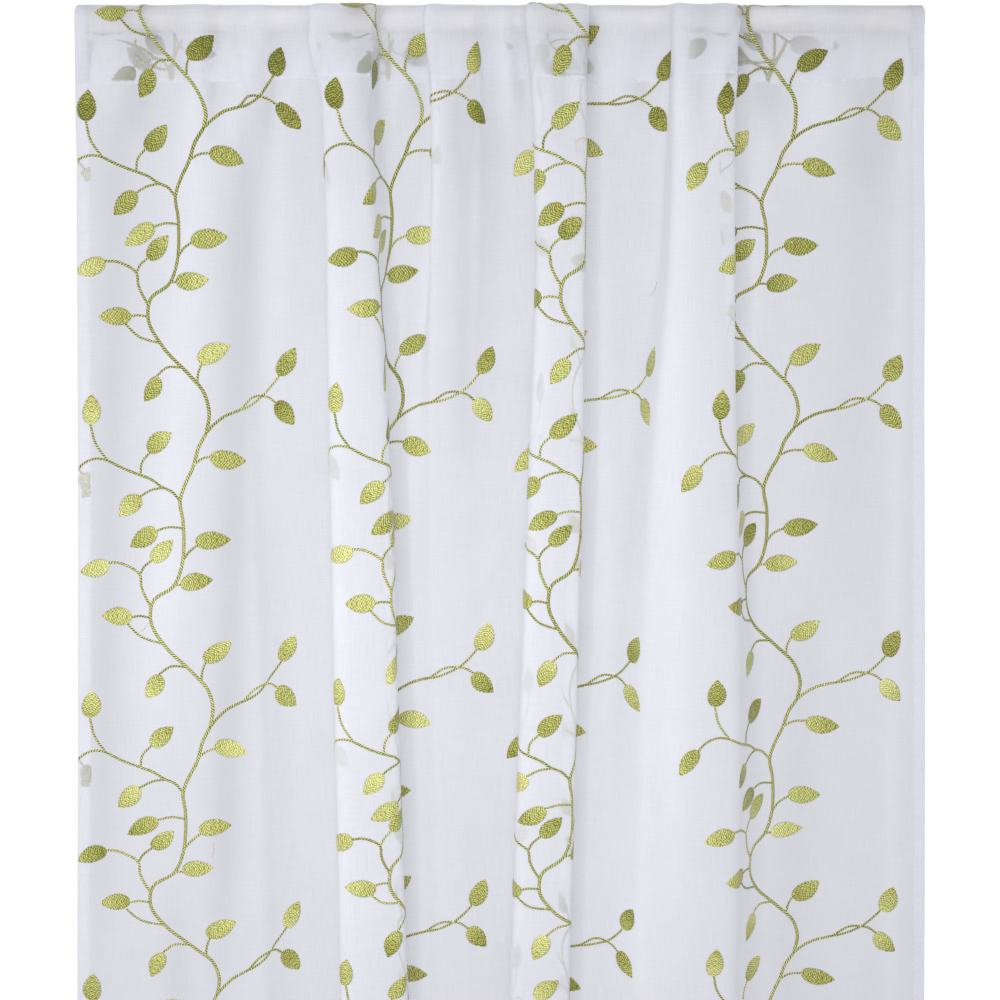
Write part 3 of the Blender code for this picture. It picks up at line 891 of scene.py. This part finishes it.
    def place(self, u: Array, v: Array, lift: Array | float = 0.0) -> Array:
        """Works out where flat points hang.

        Args:
            u: across, from the left edge.
            v: down, from the rod's axis.
            lift: how far in front of the cloth (behind it where negative).

        Returns:
            Points in metres, with a last axis of 3.
        """
        u, v, lift = np.broadcast_arrays(np.asarray(u, float), np.asarray(v, float), lift)
        at = self.read(self.points, u, v) + self.read(self.normal, u, v) * lift[..., None]
        return at * MM

    def count(self, u: Array, v: Array) -> Array:
        """Returns how many times the cloth counts: more where it is steep, raised and lowered on ridges,
        troughs and fold fronts as painted highlight and shade.
        """
        return self.read(self.layers, u, v)[..., 0]

    def seam_line(self, u: Array) -> Array:
        """Returns v of the pocket's stitch line, drawn up by the gathers."""
        return self.seam - hermite(SEAM_RISE[:, 0], SEAM_RISE[:, 1], u)


# ------------------------------------------------------------------------------------------- the cloth
# A doubled hem, from the cloth's edge round to its tucked-under end. Columns: distance from the edge as a
# share of the hem's width, layers behind the cloth.
HEM = np.array([
    (0.0, 0.0), (0.0, 1.0), (0.0, 2.0), (0.35, 2.05), (0.7, 2.05), (1.0, 1.7), (0.985, 1.0), (0.7, 1.0),
    (0.35, 1.0), (0.06, 1.0),
])


@dataclass
class VoilePanel:
    """The panel of voile in one run, with its side hems, bottom hem and stitch lines."""

    drape: Drape
    columns: int = 350
    fold_step: float = 0.6           # v from the pocket's fold to the rows beside it
    back_end: float = -56.0          # v near which the back layer meets the rod
    turn_rows: int = 8               # rows of what is turned up, of the back layer and over the rod
    back_rows: int = 10
    rod_rows: int = 15
    spans: tuple[Triple, ...] = ((0, 140, 4.5), (140, 420, 7.0), (420, 1200, 9.0))    # v from, to, step
    low_rows: int = 78               # from the last span to the bottom edge
    side_hem: float = 14.0
    bottom_hem: float = 76.0
    layer_gap: float = 0.35          # between a hem's layers
    hem_share: float = 0.5           # how much a side hem's layers count
    hem_columns: int = 260
    edge_share: float = 1.3          # how much the strip behind the pocket's stitch line counts
    edge_columns: int = 280
    edge_rows: tuple[float, ...] = (0.9, 0.0, -1.4, -2.4)    # v from the stitch line
    edge_lift: float = -0.5
    stitch_pitch: float = 3.0
    stitch_length: float = 2.3
    stitch_radius: float = 0.17
    stitch_steps: tuple[float, ...] = (0.0, 0.18, 0.5, 0.82, 1.0)    # rings along a stitch
    stitch_sides: int = 4
    stitch_lift: float = 0.15
    stitch_start: float = 0.4        # from the end of a row to its first stitch
    seam_points: int = 200           # along the pocket's row
    stitch_inset: float = 1.5        # from a side hem's inner edge to its stitches
    stitch_end: float = 2.0          # from a cloth's edge to the end of a row, and inside the bottom hem

    def rows(self) -> Array:
        """Returns the rows of the panel's grid, in v: close at the fold, round the rod and at the heading."""
        d = self.drape
        return np.concatenate([
            np.linspace(d.top, d.fold - self.fold_step, self.turn_rows), [d.fold],
            np.linspace(d.fold + self.fold_step, self.back_end, self.back_rows)[:-1],
            np.linspace(self.back_end, 0, self.rod_rows)[:-1],
            *(np.arange(*span) for span in self.spans),
            np.linspace(self.spans[-1][1], d.length, self.low_rows),
        ])

    def lay(self, name: str, material: bpy.types.Material, u: Array, v: Array, lift: Array | float = 0.0,
            share: float = 1.0) -> bpy.types.Object:
        """Lays a piece of cloth on the drape: a grid of flat points, each where it hangs.

        Args:
            name: the piece's name.
            material: the cloth.
            u: across; u, v and lift are spread to rows x columns.
            v: down; what is beyond the bottom edge hangs straight below it.
            lift: how far the piece lies in front of the drape.
            share: factor on how many times the cloth counts.

        Returns:
            The piece.
        """
        u, v, lift = np.broadcast_arrays(u, v, lift)
        points = self.drape.place(u, v, lift)
        points[..., 2] += np.minimum(self.drape.length - v, 0.0) * MM
        surface = Surface()
        surface.add_grid(points, np.stack([u, -v], axis=-1) * MM, layers=share * self.drape.count(u, v))
        return surface.build(name, material)

    def sheet(self, material: bpy.types.Material) -> bpy.types.Object:
        """Builds the cloth itself: the drape read on a grid of rows and fold-following columns."""
        v = self.rows()[::-1]
        return self.lay("voile_panel", material, self.drape.columns(self.columns, v), v[:, None])

    def hem_profile(self, width: float) -> tuple[Array, Array]:
        """Works out a doubled hem: round the edge, back to the hem's width, tucked under to the edge.

        Args:
            width: the hem's width.

        Returns:
            Distance from the edge and lift behind the cloth, along the folded strip.
        """
        inward, lift = HEM[:, 0] * width, HEM[:, 1] * -self.layer_gap
        inward[1] = -self.layer_gap    # the round of the edge stands out by one gap
        return inward, lift

    def side_hem_piece(self, left: bool, material: bpy.types.Material) -> bpy.types.Object:
        """Builds one side hem: the hem profile carried down the side edge."""
        inward, lift = self.hem_profile(self.side_hem)
        u = inward if left else self.drape.width - inward
        v = self.rows()[::1 if left else -1]
        name = "side_hem_left" if left else "side_hem_right"
        return self.lay(name, material, u, v[:, None], lift, self.hem_share)

    def bottom_hem_piece(self, material: bpy.types.Material) -> bpy.types.Object:
        """Builds the bottom hem: the hem profile carried along the bottom edge."""
        inward, lift = (line[::-1, None] for line in self.hem_profile(self.bottom_hem))
        u = self.drape.columns(self.hem_columns, np.array([self.drape.length]))
        return self.lay("bottom_hem", material, u, self.drape.length - inward, lift)

    def pocket_edge_piece(self, material: bpy.types.Material) -> bpy.types.Object:
        """Builds the pocket's inner edge: a narrow strip of cloth behind the stitch line."""
        u = self.drape.columns(self.edge_columns, np.array([self.drape.seam]))
        v = self.drape.seam_line(u) + np.array(self.edge_rows)[:, None]
        return self.lay("pocket_edge", material, u, v, self.edge_lift, self.edge_share)

    def stitch_line(self, name: str, path: Array, material: bpy.types.Material) -> bpy.types.Object:
        """Builds a row of stitches: spindles along the path, radius times the root of 1 - (2t - 1)^2.

        Args:
            name: the piece's name.
            path: (u, v) points of the line on the flat cloth.
            material: the thread.

        Returns:
            The piece.
        """
        runs = run_lengths(path)
        starts = np.arange(self.stitch_start, runs[-1] - self.stitch_length, self.stitch_pitch)
        steps = np.array(self.stitch_steps)
        around = np.arange(self.stitch_sides) * 2 * np.pi / self.stitch_sides
        radius = self.stitch_radius * np.sqrt(np.clip(1 - (2 * steps - 1) ** 2, 0.01, 1))
        along = starts[:, None, None] + steps[None, :, None] * self.stitch_length
        u = np.interp(along, runs, path[:, 0])
        v = np.interp(along, runs, path[:, 1])
        heading = (path[-1] - path[0]) / runs[-1]
        side = np.array([-heading[1], heading[0]])
        offset = radius[None, :, None] * np.cos(around)
        height = self.stitch_lift + radius[None, :, None] * np.sin(around)
        points = self.drape.place(u + side[0] * offset, v + side[1] * offset, height)
        surface = Surface()
        uv = np.zeros((*points.shape[1:3], 2))
        for stitch in points:
            surface.add_grid(stitch, uv, closed=True)
        return surface.build(name, material)

    def build(self, voile: bpy.types.Material, thread: bpy.types.Material) -> list[bpy.types.Object]:
        """Args:
            voile: finish of the cloth.
            thread: finish of the sewing thread.

        Returns:
            The pieces: the sheet first, then hems and stitch lines.
        """
        d = self.drape
        sheet = self.sheet(voile)
        hems = [self.side_hem_piece(True, voile), self.side_hem_piece(False, voile),
                self.bottom_hem_piece(voile), self.pocket_edge_piece(voile)]
        end, inset = self.stitch_end, self.side_hem - self.stitch_inset
        across = np.linspace(end, d.width - end, self.seam_points)
        down = np.array([d.fold + end, d.length - end])
        bottom = d.length - self.bottom_hem + end
        lines = {
            "pocket_stitches": np.stack([across, d.seam_line(across)], axis=1),
            "hem_stitches_left": np.stack([np.full(2, inset), down], axis=1),
            "hem_stitches_right": np.stack([np.full(2, d.width - inset), down], axis=1),
            "hem_stitches_bottom": np.array([(end, bottom), (d.width - end, bottom)]),
        }
        stitches = [self.stitch_line(name, path, thread) for name, path in lines.items()]
        for piece in [sheet, *hems, *stitches]:
            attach(piece, "root")
            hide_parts("curtain")
        return [sheet, *hems, *stitches]


# -------------------------------------------------------------------------------------- the embroidery
# One repeat of the vine, in millimetres from its first fork, across and down: its stems, each with its
# width and the points that it runs through.
STEMS = [
    (3.6, [(0, 0), (-10, 14), (-16, 30), (-26, 49), (-32, 67), (-29, 86), (-28, 110), (-29, 126),
           (-38, 152), (-60, 170), (-62, 189), (-48, 214), (-20, 241), (-1, 262), (4, 282), (0, 300)]),
    (2.8, [(-32, 67), (-40, 58), (-52, 53), (-64, 46), (-76, 42), (-94, 36), (-112, 28)]),
    (2.4, [(-16, 30), (-5, 25), (10, 24)]),
    (2.4, [(-112, 28), (-124, 10), (-128, -8)]),
    (2.4, [(-112, 28), (-122, 26), (-135, 30), (-147, 42)]),
    (2.4, [(-50, 54), (-62, 56), (-77, 64)]),
    (2.4, [(-76, 42), (-74, 29), (-65, 19)]),
    (2.4, [(-29, 94), (-42, 93), (-57, 97)]),
    (2.4, [(-28, 125), (-22, 117), (-10, 110)]),
    (2.4, [(-38, 152), (-34, 151), (-29, 151)]),
    (2.8, [(-62, 175), (-72, 155), (-74, 143), (-86, 135), (-96, 132), (-107, 132)]),
    (2.4, [(-74, 143), (-70, 135), (-61, 127)]),
    (2.4, [(-64, 186), (-74, 185), (-82, 187)]),
    (2.4, [(-86, 194), (-74, 205), (-50, 212)]),
    (2.4, [(-10, 251), (-8, 240), (-3, 230)]),
    (2.4, [(-28, 235), (-42, 235), (-55, 244)]),
    (2.9, [(0, 0), (10, -8), (23, -15), (42, -20)]),
    (2.4, [(42, -20), (48, -21), (63, -26), (76, -33), (88, -44), (95, -52)]),
    (2.4, [(42, -20), (48, -24), (59, -31), (72, -32), (83, -29), (91, -23)]),
]

# The leaves of one repeat. Columns: base across, base down, tip across, tip down, width.
LEAVES = np.array([
    (9, 24, 45, 32, 20), (-128, -7, -125, -38, 20), (-146, 40, -165, 66, 19), (-76, 63, -98, 85, 20),
    (-66, 20, -41, -3, 20), (-56, 96, -86, 115, 20), (-11, 110, 25, 107, 20), (-30, 152, 5, 147, 19),
    (-106, 132, -137, 143, 20), (-62, 128, -39, 106, 19), (-80, 187, -114, 187, 20),
    (-4, 231, 27, 213, 20), (-54, 243, -68, 271, 19), (95, -51, 109, -80, 20), (90, -24, 111, -1, 20),
], float)

# How far the stitched vine strays from its even repeat. For each of the four vines, rows at seven
# heights. Columns: v, then across and down for the left leaves, the main stem and the right leaves.
STRAY = [
    np.array([
        (110, 6, -3, 1, -3, -12, -3), (300, 3, -2, 3, 0, -13, -3), (440, 10, 6, 7, 7, -11, 0),
        (600, 5, 12, 9, 16, -6, 3), (740, 9, 20, 14, 23, -4, 4), (900, 4, 29, 14, 31, 5, 4),
        (1000, 13, 38, 25, 26, 6, 3),
    ], float),
    np.array([
        (110, 8, -12, -5, -8, -4, -5), (300, 14, -13, 4, -8, 0, -4), (440, 18, -11, 10, -7, 4, -3),
        (600, 17, -8, 12, -5, 15, -5), (740, 27, 0, 16, -2, 18, -8), (900, 24, 6, 14, -8, 15, -15),
        (1000, 39, 10, 14, -14, 14, -17),
    ], float),
    np.array([
        (110, -6, -22, -8, -22, -6, 0), (300, -10, -22, -8, -20, -1, -3), (440, -8, -16, -4, -12, -1, -3),
        (600, 4, -10, -1, -4, 2, -1), (740, -2, -2, 0, 4, 2, 0), (900, -4, 8, 0, 0, -1, -1),
        (1000, -3, 6, -2, -10, -5, 0),
    ], float),
    np.array([
        (110, 5, -7, 12, 6, 12, 9), (300, 5, -6, 10, 2, 12, 6), (440, 5, -4, 8, 3, 11, 4),
        (600, 8, -2, 4, -1, 10, 3), (740, 9, -1, 8, 0, 8, 1), (900, 9, 0, 5, -2, 5, -5),
        (1000, 9, 0, 1, -8, 1, -10),
    ], float),
]

# Ends of thread left hanging from the stitching. Columns: vine, repeat, across, down, angle, length.
TAILS = np.array([
    (1, 1, -6, 148, 95, 16), (1, 2, -4, 68, 80, 13), (2, 0, 96, 150, 100, 18), (0, 2, 4, 122, 70, 15),
    (0, 1, -64, 190, 110, 12), (3, 1, -30, 70, 85, 14), (3, 2, -62, 176, 100, 11), (2, 1, -20, 240, 75, 13),
    (1, 4, -28, 120, 90, 15), (2, 5, -60, 180, 80, 12), (0, 5, 0, 0, 95, 14), (3, 4, 10, 262, 85, 12),
], float)


@dataclass
class VineEmbroidery:
    """One climbing vine: a stem with forks and fifteen leaves for each repeat, up the whole cloth."""

    drape: Drape
    number: int
    first: float = 132.0             # u of the first vine
    apart: float = 314.0             # between vines
    start: float = 110.0             # v of the first repeat
    repeat: float = 300.0
    repeats: range = range(-1, 7)
    leaf_seed: int = 7               # seed of the small differences, for the first vine
    stem_seed: int = 40
    leaf_rings: int = 11
    least_rings: int = 4             # a leaf with fewer rings on the cloth is left out
    leaf_angles: tuple[float, ...] = (0, 40, 66, 90, 114, 140, 180, 270)    # finer on the upper side
    leaf_crown: float = 0.75         # how far a leaf stands out in its middle
    leaf_lift: float = 0.15          # height of a leaf's rim over the cloth
    leaf_under: float = 0.7          # how deep its lower side is, as a share of the upper one
    leaf_bend: float = 1.6           # the most that a leaf bends to one side
    leaf_widths: Pair = (0.97, 1.08)    # least and most, as in the next lines
    leaf_lengths: Pair = (0.94, 1.05)
    leaf_tones: Pair = (0.2, 0.69)
    leaf_starts: Pair = (0.0, 60.0)  # where the rows of a leaf's stitches begin, in the thread's pattern
    leaf_point: float = 0.05         # half of its width at the foot and at the point
    leaf_turn: float = 6.0           # degrees by which a leaf strays from its place in the repeat
    tone_run: float = 0.4            # how much the tone changes from a leaf's foot to its point
    stem_tones: Pair = (0.25, 0.6)
    stem_step: float = 2.6
    stem_sides: int = 6
    stem_height: float = 0.7
    stem_under: float = 0.45         # how deep a stem's lower side is
    stem_end: float = 0.75           # share of its width that a stem has at its ends
    tail_radius: float = 0.22
    tail_height: float = 0.5
    tail_points: int = 7
    tail_turn: float = 40.0          # degrees by which a loose end of thread curls
    heading_shade: float = 0.26       # painted shade: how much darker the thread is made over the heading, where less light falls
    heading_shade_run: Pair = (60.0, 150.0)    # v over which that fades
    hem: float = 14.0                # the left side hem, into which the vine is turned in
    margin: float = 3.0              # bare cloth at the right edge
    top_margin: float = 1.0          # at the turned-up edge
    bottom_margin: float = 2.0       # at the bottom edge
    inner_lift: float = -0.52        # of the thread on the hem's two hidden layers
    outer_lift: float = -0.7
    inner_share: float = 0.15        # share of the thread's height that is left between them
    stray_places: Triple = (-110.0, -20.0, 80.0)    # where STRAY's columns hold

    def to_flat(self, across: Array, down: Array, repeat: int) -> tuple[Array, Array]:
        """Turns places in the repeat into flat places, with the vine's stray.

        Args:
            across: from the repeat's first fork to the right.
            down: from there down.
            repeat: number of the repeat.

        Returns:
            u and v.
        """
        table = STRAY[self.number]
        v = self.start + self.repeat * repeat + down
        sides = [np.stack([hermite(table[:, 0], table[:, k + axis], v) for k in (1, 3, 5)], axis=-1)
                 for axis in (0, 1)]
        at = np.clip(np.interp(across, self.stray_places, (0.0, 1.0, 2.0)), 0, 1.9999)
        low = at.astype(int)
        share = at - low
        shift = [np.take_along_axis(side, low[..., None], -1)[..., 0] * (1 - share)
                 + np.take_along_axis(side, low[..., None] + 1, -1)[..., 0] * share for side in sides]
        return self.first + self.apart * self.number + across + shift[0], v + shift[1]

    def inside(self, u: Array, v: Array) -> Array:
        """Says which flat points lie on the cloth or on what is turned into its left hem."""
        ends = (v > self.drape.top + self.top_margin) & (v < self.drape.length - self.bottom_margin)
        return (u > 1 - 2 * self.hem) & (u < self.drape.width - self.margin) & ends

    def turn_in(self, u: Array, lift: Array) -> tuple[Array, Array]:
        """Folds what passes the left edge into the hem: down its back, then back inside it.

        Args:
            u: across on the flat cut; negative beyond the edge.
            lift: height over the cloth's outer face.

        Returns:
            Place across and lift over the cloth.
        """
        beyond = np.clip(-u, 0.0, 2 * self.hem)
        deep = beyond > self.hem
        turned = np.where(deep, 2 * self.hem - beyond, beyond)
        hidden = np.where(deep, self.inner_lift + self.inner_share * lift, self.outer_lift - lift)
        return np.where(u < 0, turned, u), np.where(u < 0, hidden, lift)

    def add_leaf(self, surface: Surface, base: Array, tip: Array, width: float,
                 random: np.random.Generator) -> None:
        """Adds a leaf: a flat spindle, half width times sin(pi t^0.8)^(0.5 + 0.35 t), round at its foot.

        Args:
            surface: where it goes.
            base: (u, v) of its foot.
            tip: (u, v) of its point.
            width: its greatest width.
            random: source of its small differences.
        """
        axis = tip - base
        length = float(np.hypot(*axis))
        axis = axis / length
        side = np.array([-axis[1], axis[0]])
        t = (1 - np.cos(np.linspace(0, np.pi, self.leaf_rings))) / 2
        angle = np.radians(np.array(self.leaf_angles, float))
        bend = random.uniform(-self.leaf_bend, self.leaf_bend) * np.sin(np.pi * t)
        half = width * random.uniform(*self.leaf_widths) / 2
        half = np.maximum(half * np.sin(np.pi * t ** 0.8).clip(0) ** (0.5 + 0.35 * t), self.leaf_point)
        across = half[:, None] * np.cos(angle)
        along = (t * length)[:, None] * np.ones_like(angle)
        u = base[0] + axis[0] * along + side[0] * (across + bend[:, None])
        v = base[1] + axis[1] * along + side[1] * (across + bend[:, None])
        start, shade = random.uniform(*self.leaf_starts), random.uniform(*self.leaf_tones)
        keep = self.inside(u, v).all(axis=1)
        if keep.sum() < self.least_rings:
            return
        crown = self.leaf_crown * np.sin(np.pi * t)[:, None] ** 0.5
        lift = self.leaf_lift + crown * np.sin(angle) * np.where(np.sin(angle) > 0, 1.0, self.leaf_under)
        u, lift = self.turn_in(u[keep], lift[keep])
        points = self.drape.place(u, v[keep], lift)
        uv = np.stack([along + start, across], axis=-1)[keep]
        edge = np.abs(np.cos(angle)) * np.ones_like(along)
        slope = random.uniform(-self.tone_run, self.tone_run)
        tone = shade + slope * (t - 0.5)[:, None] * np.ones_like(angle)
        # Painted shade: leaves over the heading are darkened, where less light falls.
        tone -= self.heading_shade * (1 - smooth_step(*self.heading_shade_run, v))
        surface.add_grid(points, uv, closed=True, shade=tone[keep], edge=edge[keep])

    def add_stem(self, surface: Surface, u: Array, v: Array, width: Array, height: float,
                 shade: float) -> None:
        """Adds a stem: a low half-round tube along a path, flat below.

        Args:
            surface: where it goes.
            u: across, along the path.
            v: down, along the path.
            width: its width, along the path.
            height: how far it stands out.
            shade: its tone.
        """
        path = np.stack([u, v], axis=1)
        if len(path) < 3:
            return
        run = run_lengths(path)
        heading = np.gradient(path, axis=0)
        heading /= np.linalg.norm(heading, axis=1, keepdims=True)
        side = np.stack([-heading[:, 1], heading[:, 0]], axis=1)
        angle = np.arange(self.stem_sides) * 2 * np.pi / self.stem_sides
        half = width / 2
        across = half[:, None] * np.cos(angle)
        reach = np.where(np.sin(angle) > 0, height, self.stem_under)
        lift = reach * np.sin(angle) * (half / half.max())[:, None]
        beside, lift = self.turn_in(u[:, None] + side[:, :1] * across, lift)
        points = self.drape.place(beside, v[:, None] + side[:, 1:] * across, lift)
        uv = np.stack([run[:, None] * np.ones_like(angle), across], axis=-1)
        surface.add_grid(points, uv, closed=True, shade=np.array(shade), edge=np.array(0.0))

    def stems(self, material: bpy.types.Material) -> bpy.types.Object:
        """Builds all stems, and the loose ends of thread, of this vine."""
        surface = Surface()
        random = np.random.default_rng(self.stem_seed + self.number)
        for repeat in self.repeats:
            for width, chart in STEMS:
                path = smooth_path(np.array(chart, float), self.stem_step)
                u, v = self.to_flat(path[:, 0], path[:, 1], repeat)
                inside = self.inside(u, v)
                widths = np.full(len(u), width)
                widths[[0, -1]] *= self.stem_end
                shade = random.uniform(*self.stem_tones)
                if inside.sum() > 3:
                    self.add_stem(surface, u[inside], v[inside], widths[inside], self.stem_height, shade)
        for _, repeat, across, down, angle, length in TAILS[TAILS[:, 0] == self.number]:
            turn = np.radians(angle + np.linspace(0, self.tail_turn, self.tail_points))
            step = length / (self.tail_points - 1)
            du, dv = np.cumsum(np.cos(turn)) * step, np.cumsum(np.sin(turn)) * step
            u, v = self.to_flat(across + du, down + dv, int(repeat))
            widths = np.full(self.tail_points, 2 * self.tail_radius)
            self.add_stem(surface, u, v, widths, self.tail_height, self.stem_tones[1])
        return surface.build(f"vine_stems_{self.number + 1}", material)

    def leaves(self, material: bpy.types.Material) -> bpy.types.Object:
        """Builds all leaves of this vine."""
        surface = Surface()
        random = np.random.default_rng(self.leaf_seed + self.number)
        for repeat in self.repeats:
            for base_u, base_v, tip_u, tip_v, width in LEAVES:
                u, v = self.to_flat(np.array([base_u, tip_u]), np.array([base_v, tip_v]), repeat)
                middle = np.array([u.mean(), v.mean()])
                half = np.array([tip_u - base_u, tip_v - base_v]) / 2
                turn = np.radians(random.uniform(-self.leaf_turn, self.leaf_turn))
                half = half * random.uniform(*self.leaf_lengths)
                half = np.array([half[0] * np.cos(turn) - half[1] * np.sin(turn),
                                 half[0] * np.sin(turn) + half[1] * np.cos(turn)])
                self.add_leaf(surface, middle - half, middle + half, width, random)
        return surface.build(f"vine_leaves_{self.number + 1}", material)

    def build(self, leaf: bpy.types.Material, stem: bpy.types.Material) -> list[bpy.types.Object]:
        """Builds the vine and lets it ride on the part; returns its leaves and its stems."""
        pieces = [self.leaves(leaf), self.stems(stem)]
        for piece in pieces:
            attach(piece, "root")
            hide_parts("curtain")
        return pieces


# ------------------------------------------------------------------------------------------------ stage
@dataclass
class Rod:
    """The plain round rod, which keeps its solid and gets its paint."""

    node: str = "rod"

    def dress(self, paint: bpy.types.Material) -> bpy.types.Object:
        """Paints the rod's own solid and returns it."""
        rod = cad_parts[self.node]
        rod.data.materials.clear()
        rod.data.materials.append(paint)
        return rod


@dataclass
class Studio:
    """A pale floor, soft light from near the camera and from above, a white surround and the camera."""

    floor_level: float = -2.15
    floor_size: tuple[float, float, float, float] = (-4.0, 4.0, -5.0, 1.85)    # x from, x to, y from, y to
    floor_points: int = 9            # along each side
    camera_place: Triple = (0.0, -1.6577, -0.2241)
    camera_tilt: float = 9.0         # degrees down from level
    lens: float = 57.6
    film_width: float = 36.0
    # The lights: name, place, side in metres, power in watts.
    lights: tuple[tuple[str, Triple, float, float], ...] = (
        ("key", (-0.68, -1.95, -0.66), 0.14, 1.8),
        ("fill", (-0.17, -1.75, -0.64), 0.9, 5.1),
        ("top", (-0.12, -0.5, 0.9), 0.9, 0.7),
    )
    light_aim: Triple = (-0.12, 0.0, -0.58)
    light_spread: float = 84.0
    sky: Colour = linear(252, 251, 255)
    sky_light: float = 0.695
    seen_through: Colour = linear(193, 193, 200)    # the surround where it is seen through the cloth

    def floor(self, material: bpy.types.Material) -> bpy.types.Object:
        """Builds the floor as a flat grid and marks it as stage."""
        x0, x1, y0, y1 = self.floor_size
        x, y = np.meshgrid(np.linspace(x0, x1, self.floor_points), np.linspace(y0, y1, self.floor_points))
        points = np.stack([x, y, np.full_like(x, self.floor_level)], axis=-1)
        surface = Surface()
        surface.add_grid(points, points[..., :2])
        floor = surface.build("studio_floor", material)
        return floor

    def camera(self) -> bpy.types.Object:
        """Makes the camera at the photograph's viewing angle."""
        data = bpy.data.cameras.new("camera")
        data.lens = self.lens
        data.sensor_width = self.film_width
        camera = bpy.data.objects.new("camera", data)
        camera.location = self.camera_place
        camera.rotation_euler = (np.radians(90.0 - self.camera_tilt), 0.0, 0.0)
        bpy.context.scene.collection.objects.link(camera)
        bpy.context.scene.camera = camera
        return camera

    def light(self, name: str, place: Triple, size: float, power: float) -> bpy.types.Object:
        """Makes a square light, turned to the middle of the seen cloth.

        Args:
            name: its name.
            place: where it stands.
            size: its side in metres.
            power: its power in watts.

        Returns:
            The light.
        """
        data = bpy.data.lights.new(name, "AREA")
        data.shape = "SQUARE"
        data.size = size
        data.spread = np.radians(self.light_spread)
        data.energy = power
        light = bpy.data.objects.new(name, data)
        light.location = place
        towards = Vector(self.light_aim) - Vector(place)
        light.rotation_euler = towards.to_track_quat("-Z", "Y").to_euler()
        bpy.context.scene.collection.objects.link(light)
        return light

    def surround(self) -> None:
        """Sets the world: white to the eye, a pale grey when seen through the cloth, soft as light."""
        g = Graph(bpy.data.worlds.new("studio"))
        path = g.add("ShaderNodeLightPath").outputs
        glows = ((linear(255, 255, 255), 1.0), (self.seen_through, 1.0), (self.sky, self.sky_light))
        white, behind, light = (g.add("ShaderNodeBackground", {0: colour, 1: strength}).outputs[0]
                                for colour, strength in glows)
        through_cloth = g.math("GREATER_THAN", path["Transparent Depth"], 0.5)
        seen = g.mix_shader(through_cloth, white, behind)
        g.add("ShaderNodeOutputWorld", {0: g.mix_shader(path["Is Camera Ray"], light, seen)})
        bpy.context.scene.world = g.owner

    def build(self, floor_finish: bpy.types.Material) -> None:
        """Sets up floor, camera, light, surround and how light and colours are worked out."""
        self.floor(floor_finish)
        self.camera()
        for light in self.lights:
            self.light(*light)
        self.surround()
        scene = bpy.context.scene
        scene.view_settings.view_transform = "Standard"
        scene.cycles.transparent_max_bounces = 32


def main() -> None:
    """Builds the curtain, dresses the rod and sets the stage."""
    logging.basicConfig(level=logging.INFO, format="%(name)s: %(message)s")
    Studio().build(FloorFinish().material())
    LOG.info("stage: floor, camera, light and surround")
    drape = Drape()
    LOG.info("drape: %d rows by %d columns", *drape.points.shape[:2])
    voile = VoileFinish().material()
    cloth = VoilePanel(drape).build(voile, SewingFinish().material())
    leaf = ThreadFinish(Stitch.ROWS).material()
    stem = ThreadFinish(Stitch.TWIST, pitch=2.9, slant=0.9).material()
    vines = []
    for number in range(len(STRAY)):
        vines += VineEmbroidery(drape, number).build(leaf, stem)
    rod = Rod().dress(PaintFinish().material())
    for piece in [*cloth, *vines, rod]:
        LOG.info("%s: %d faces", piece.name, len(piece.data.polygons))


if __name__ == "__main__":
    main()
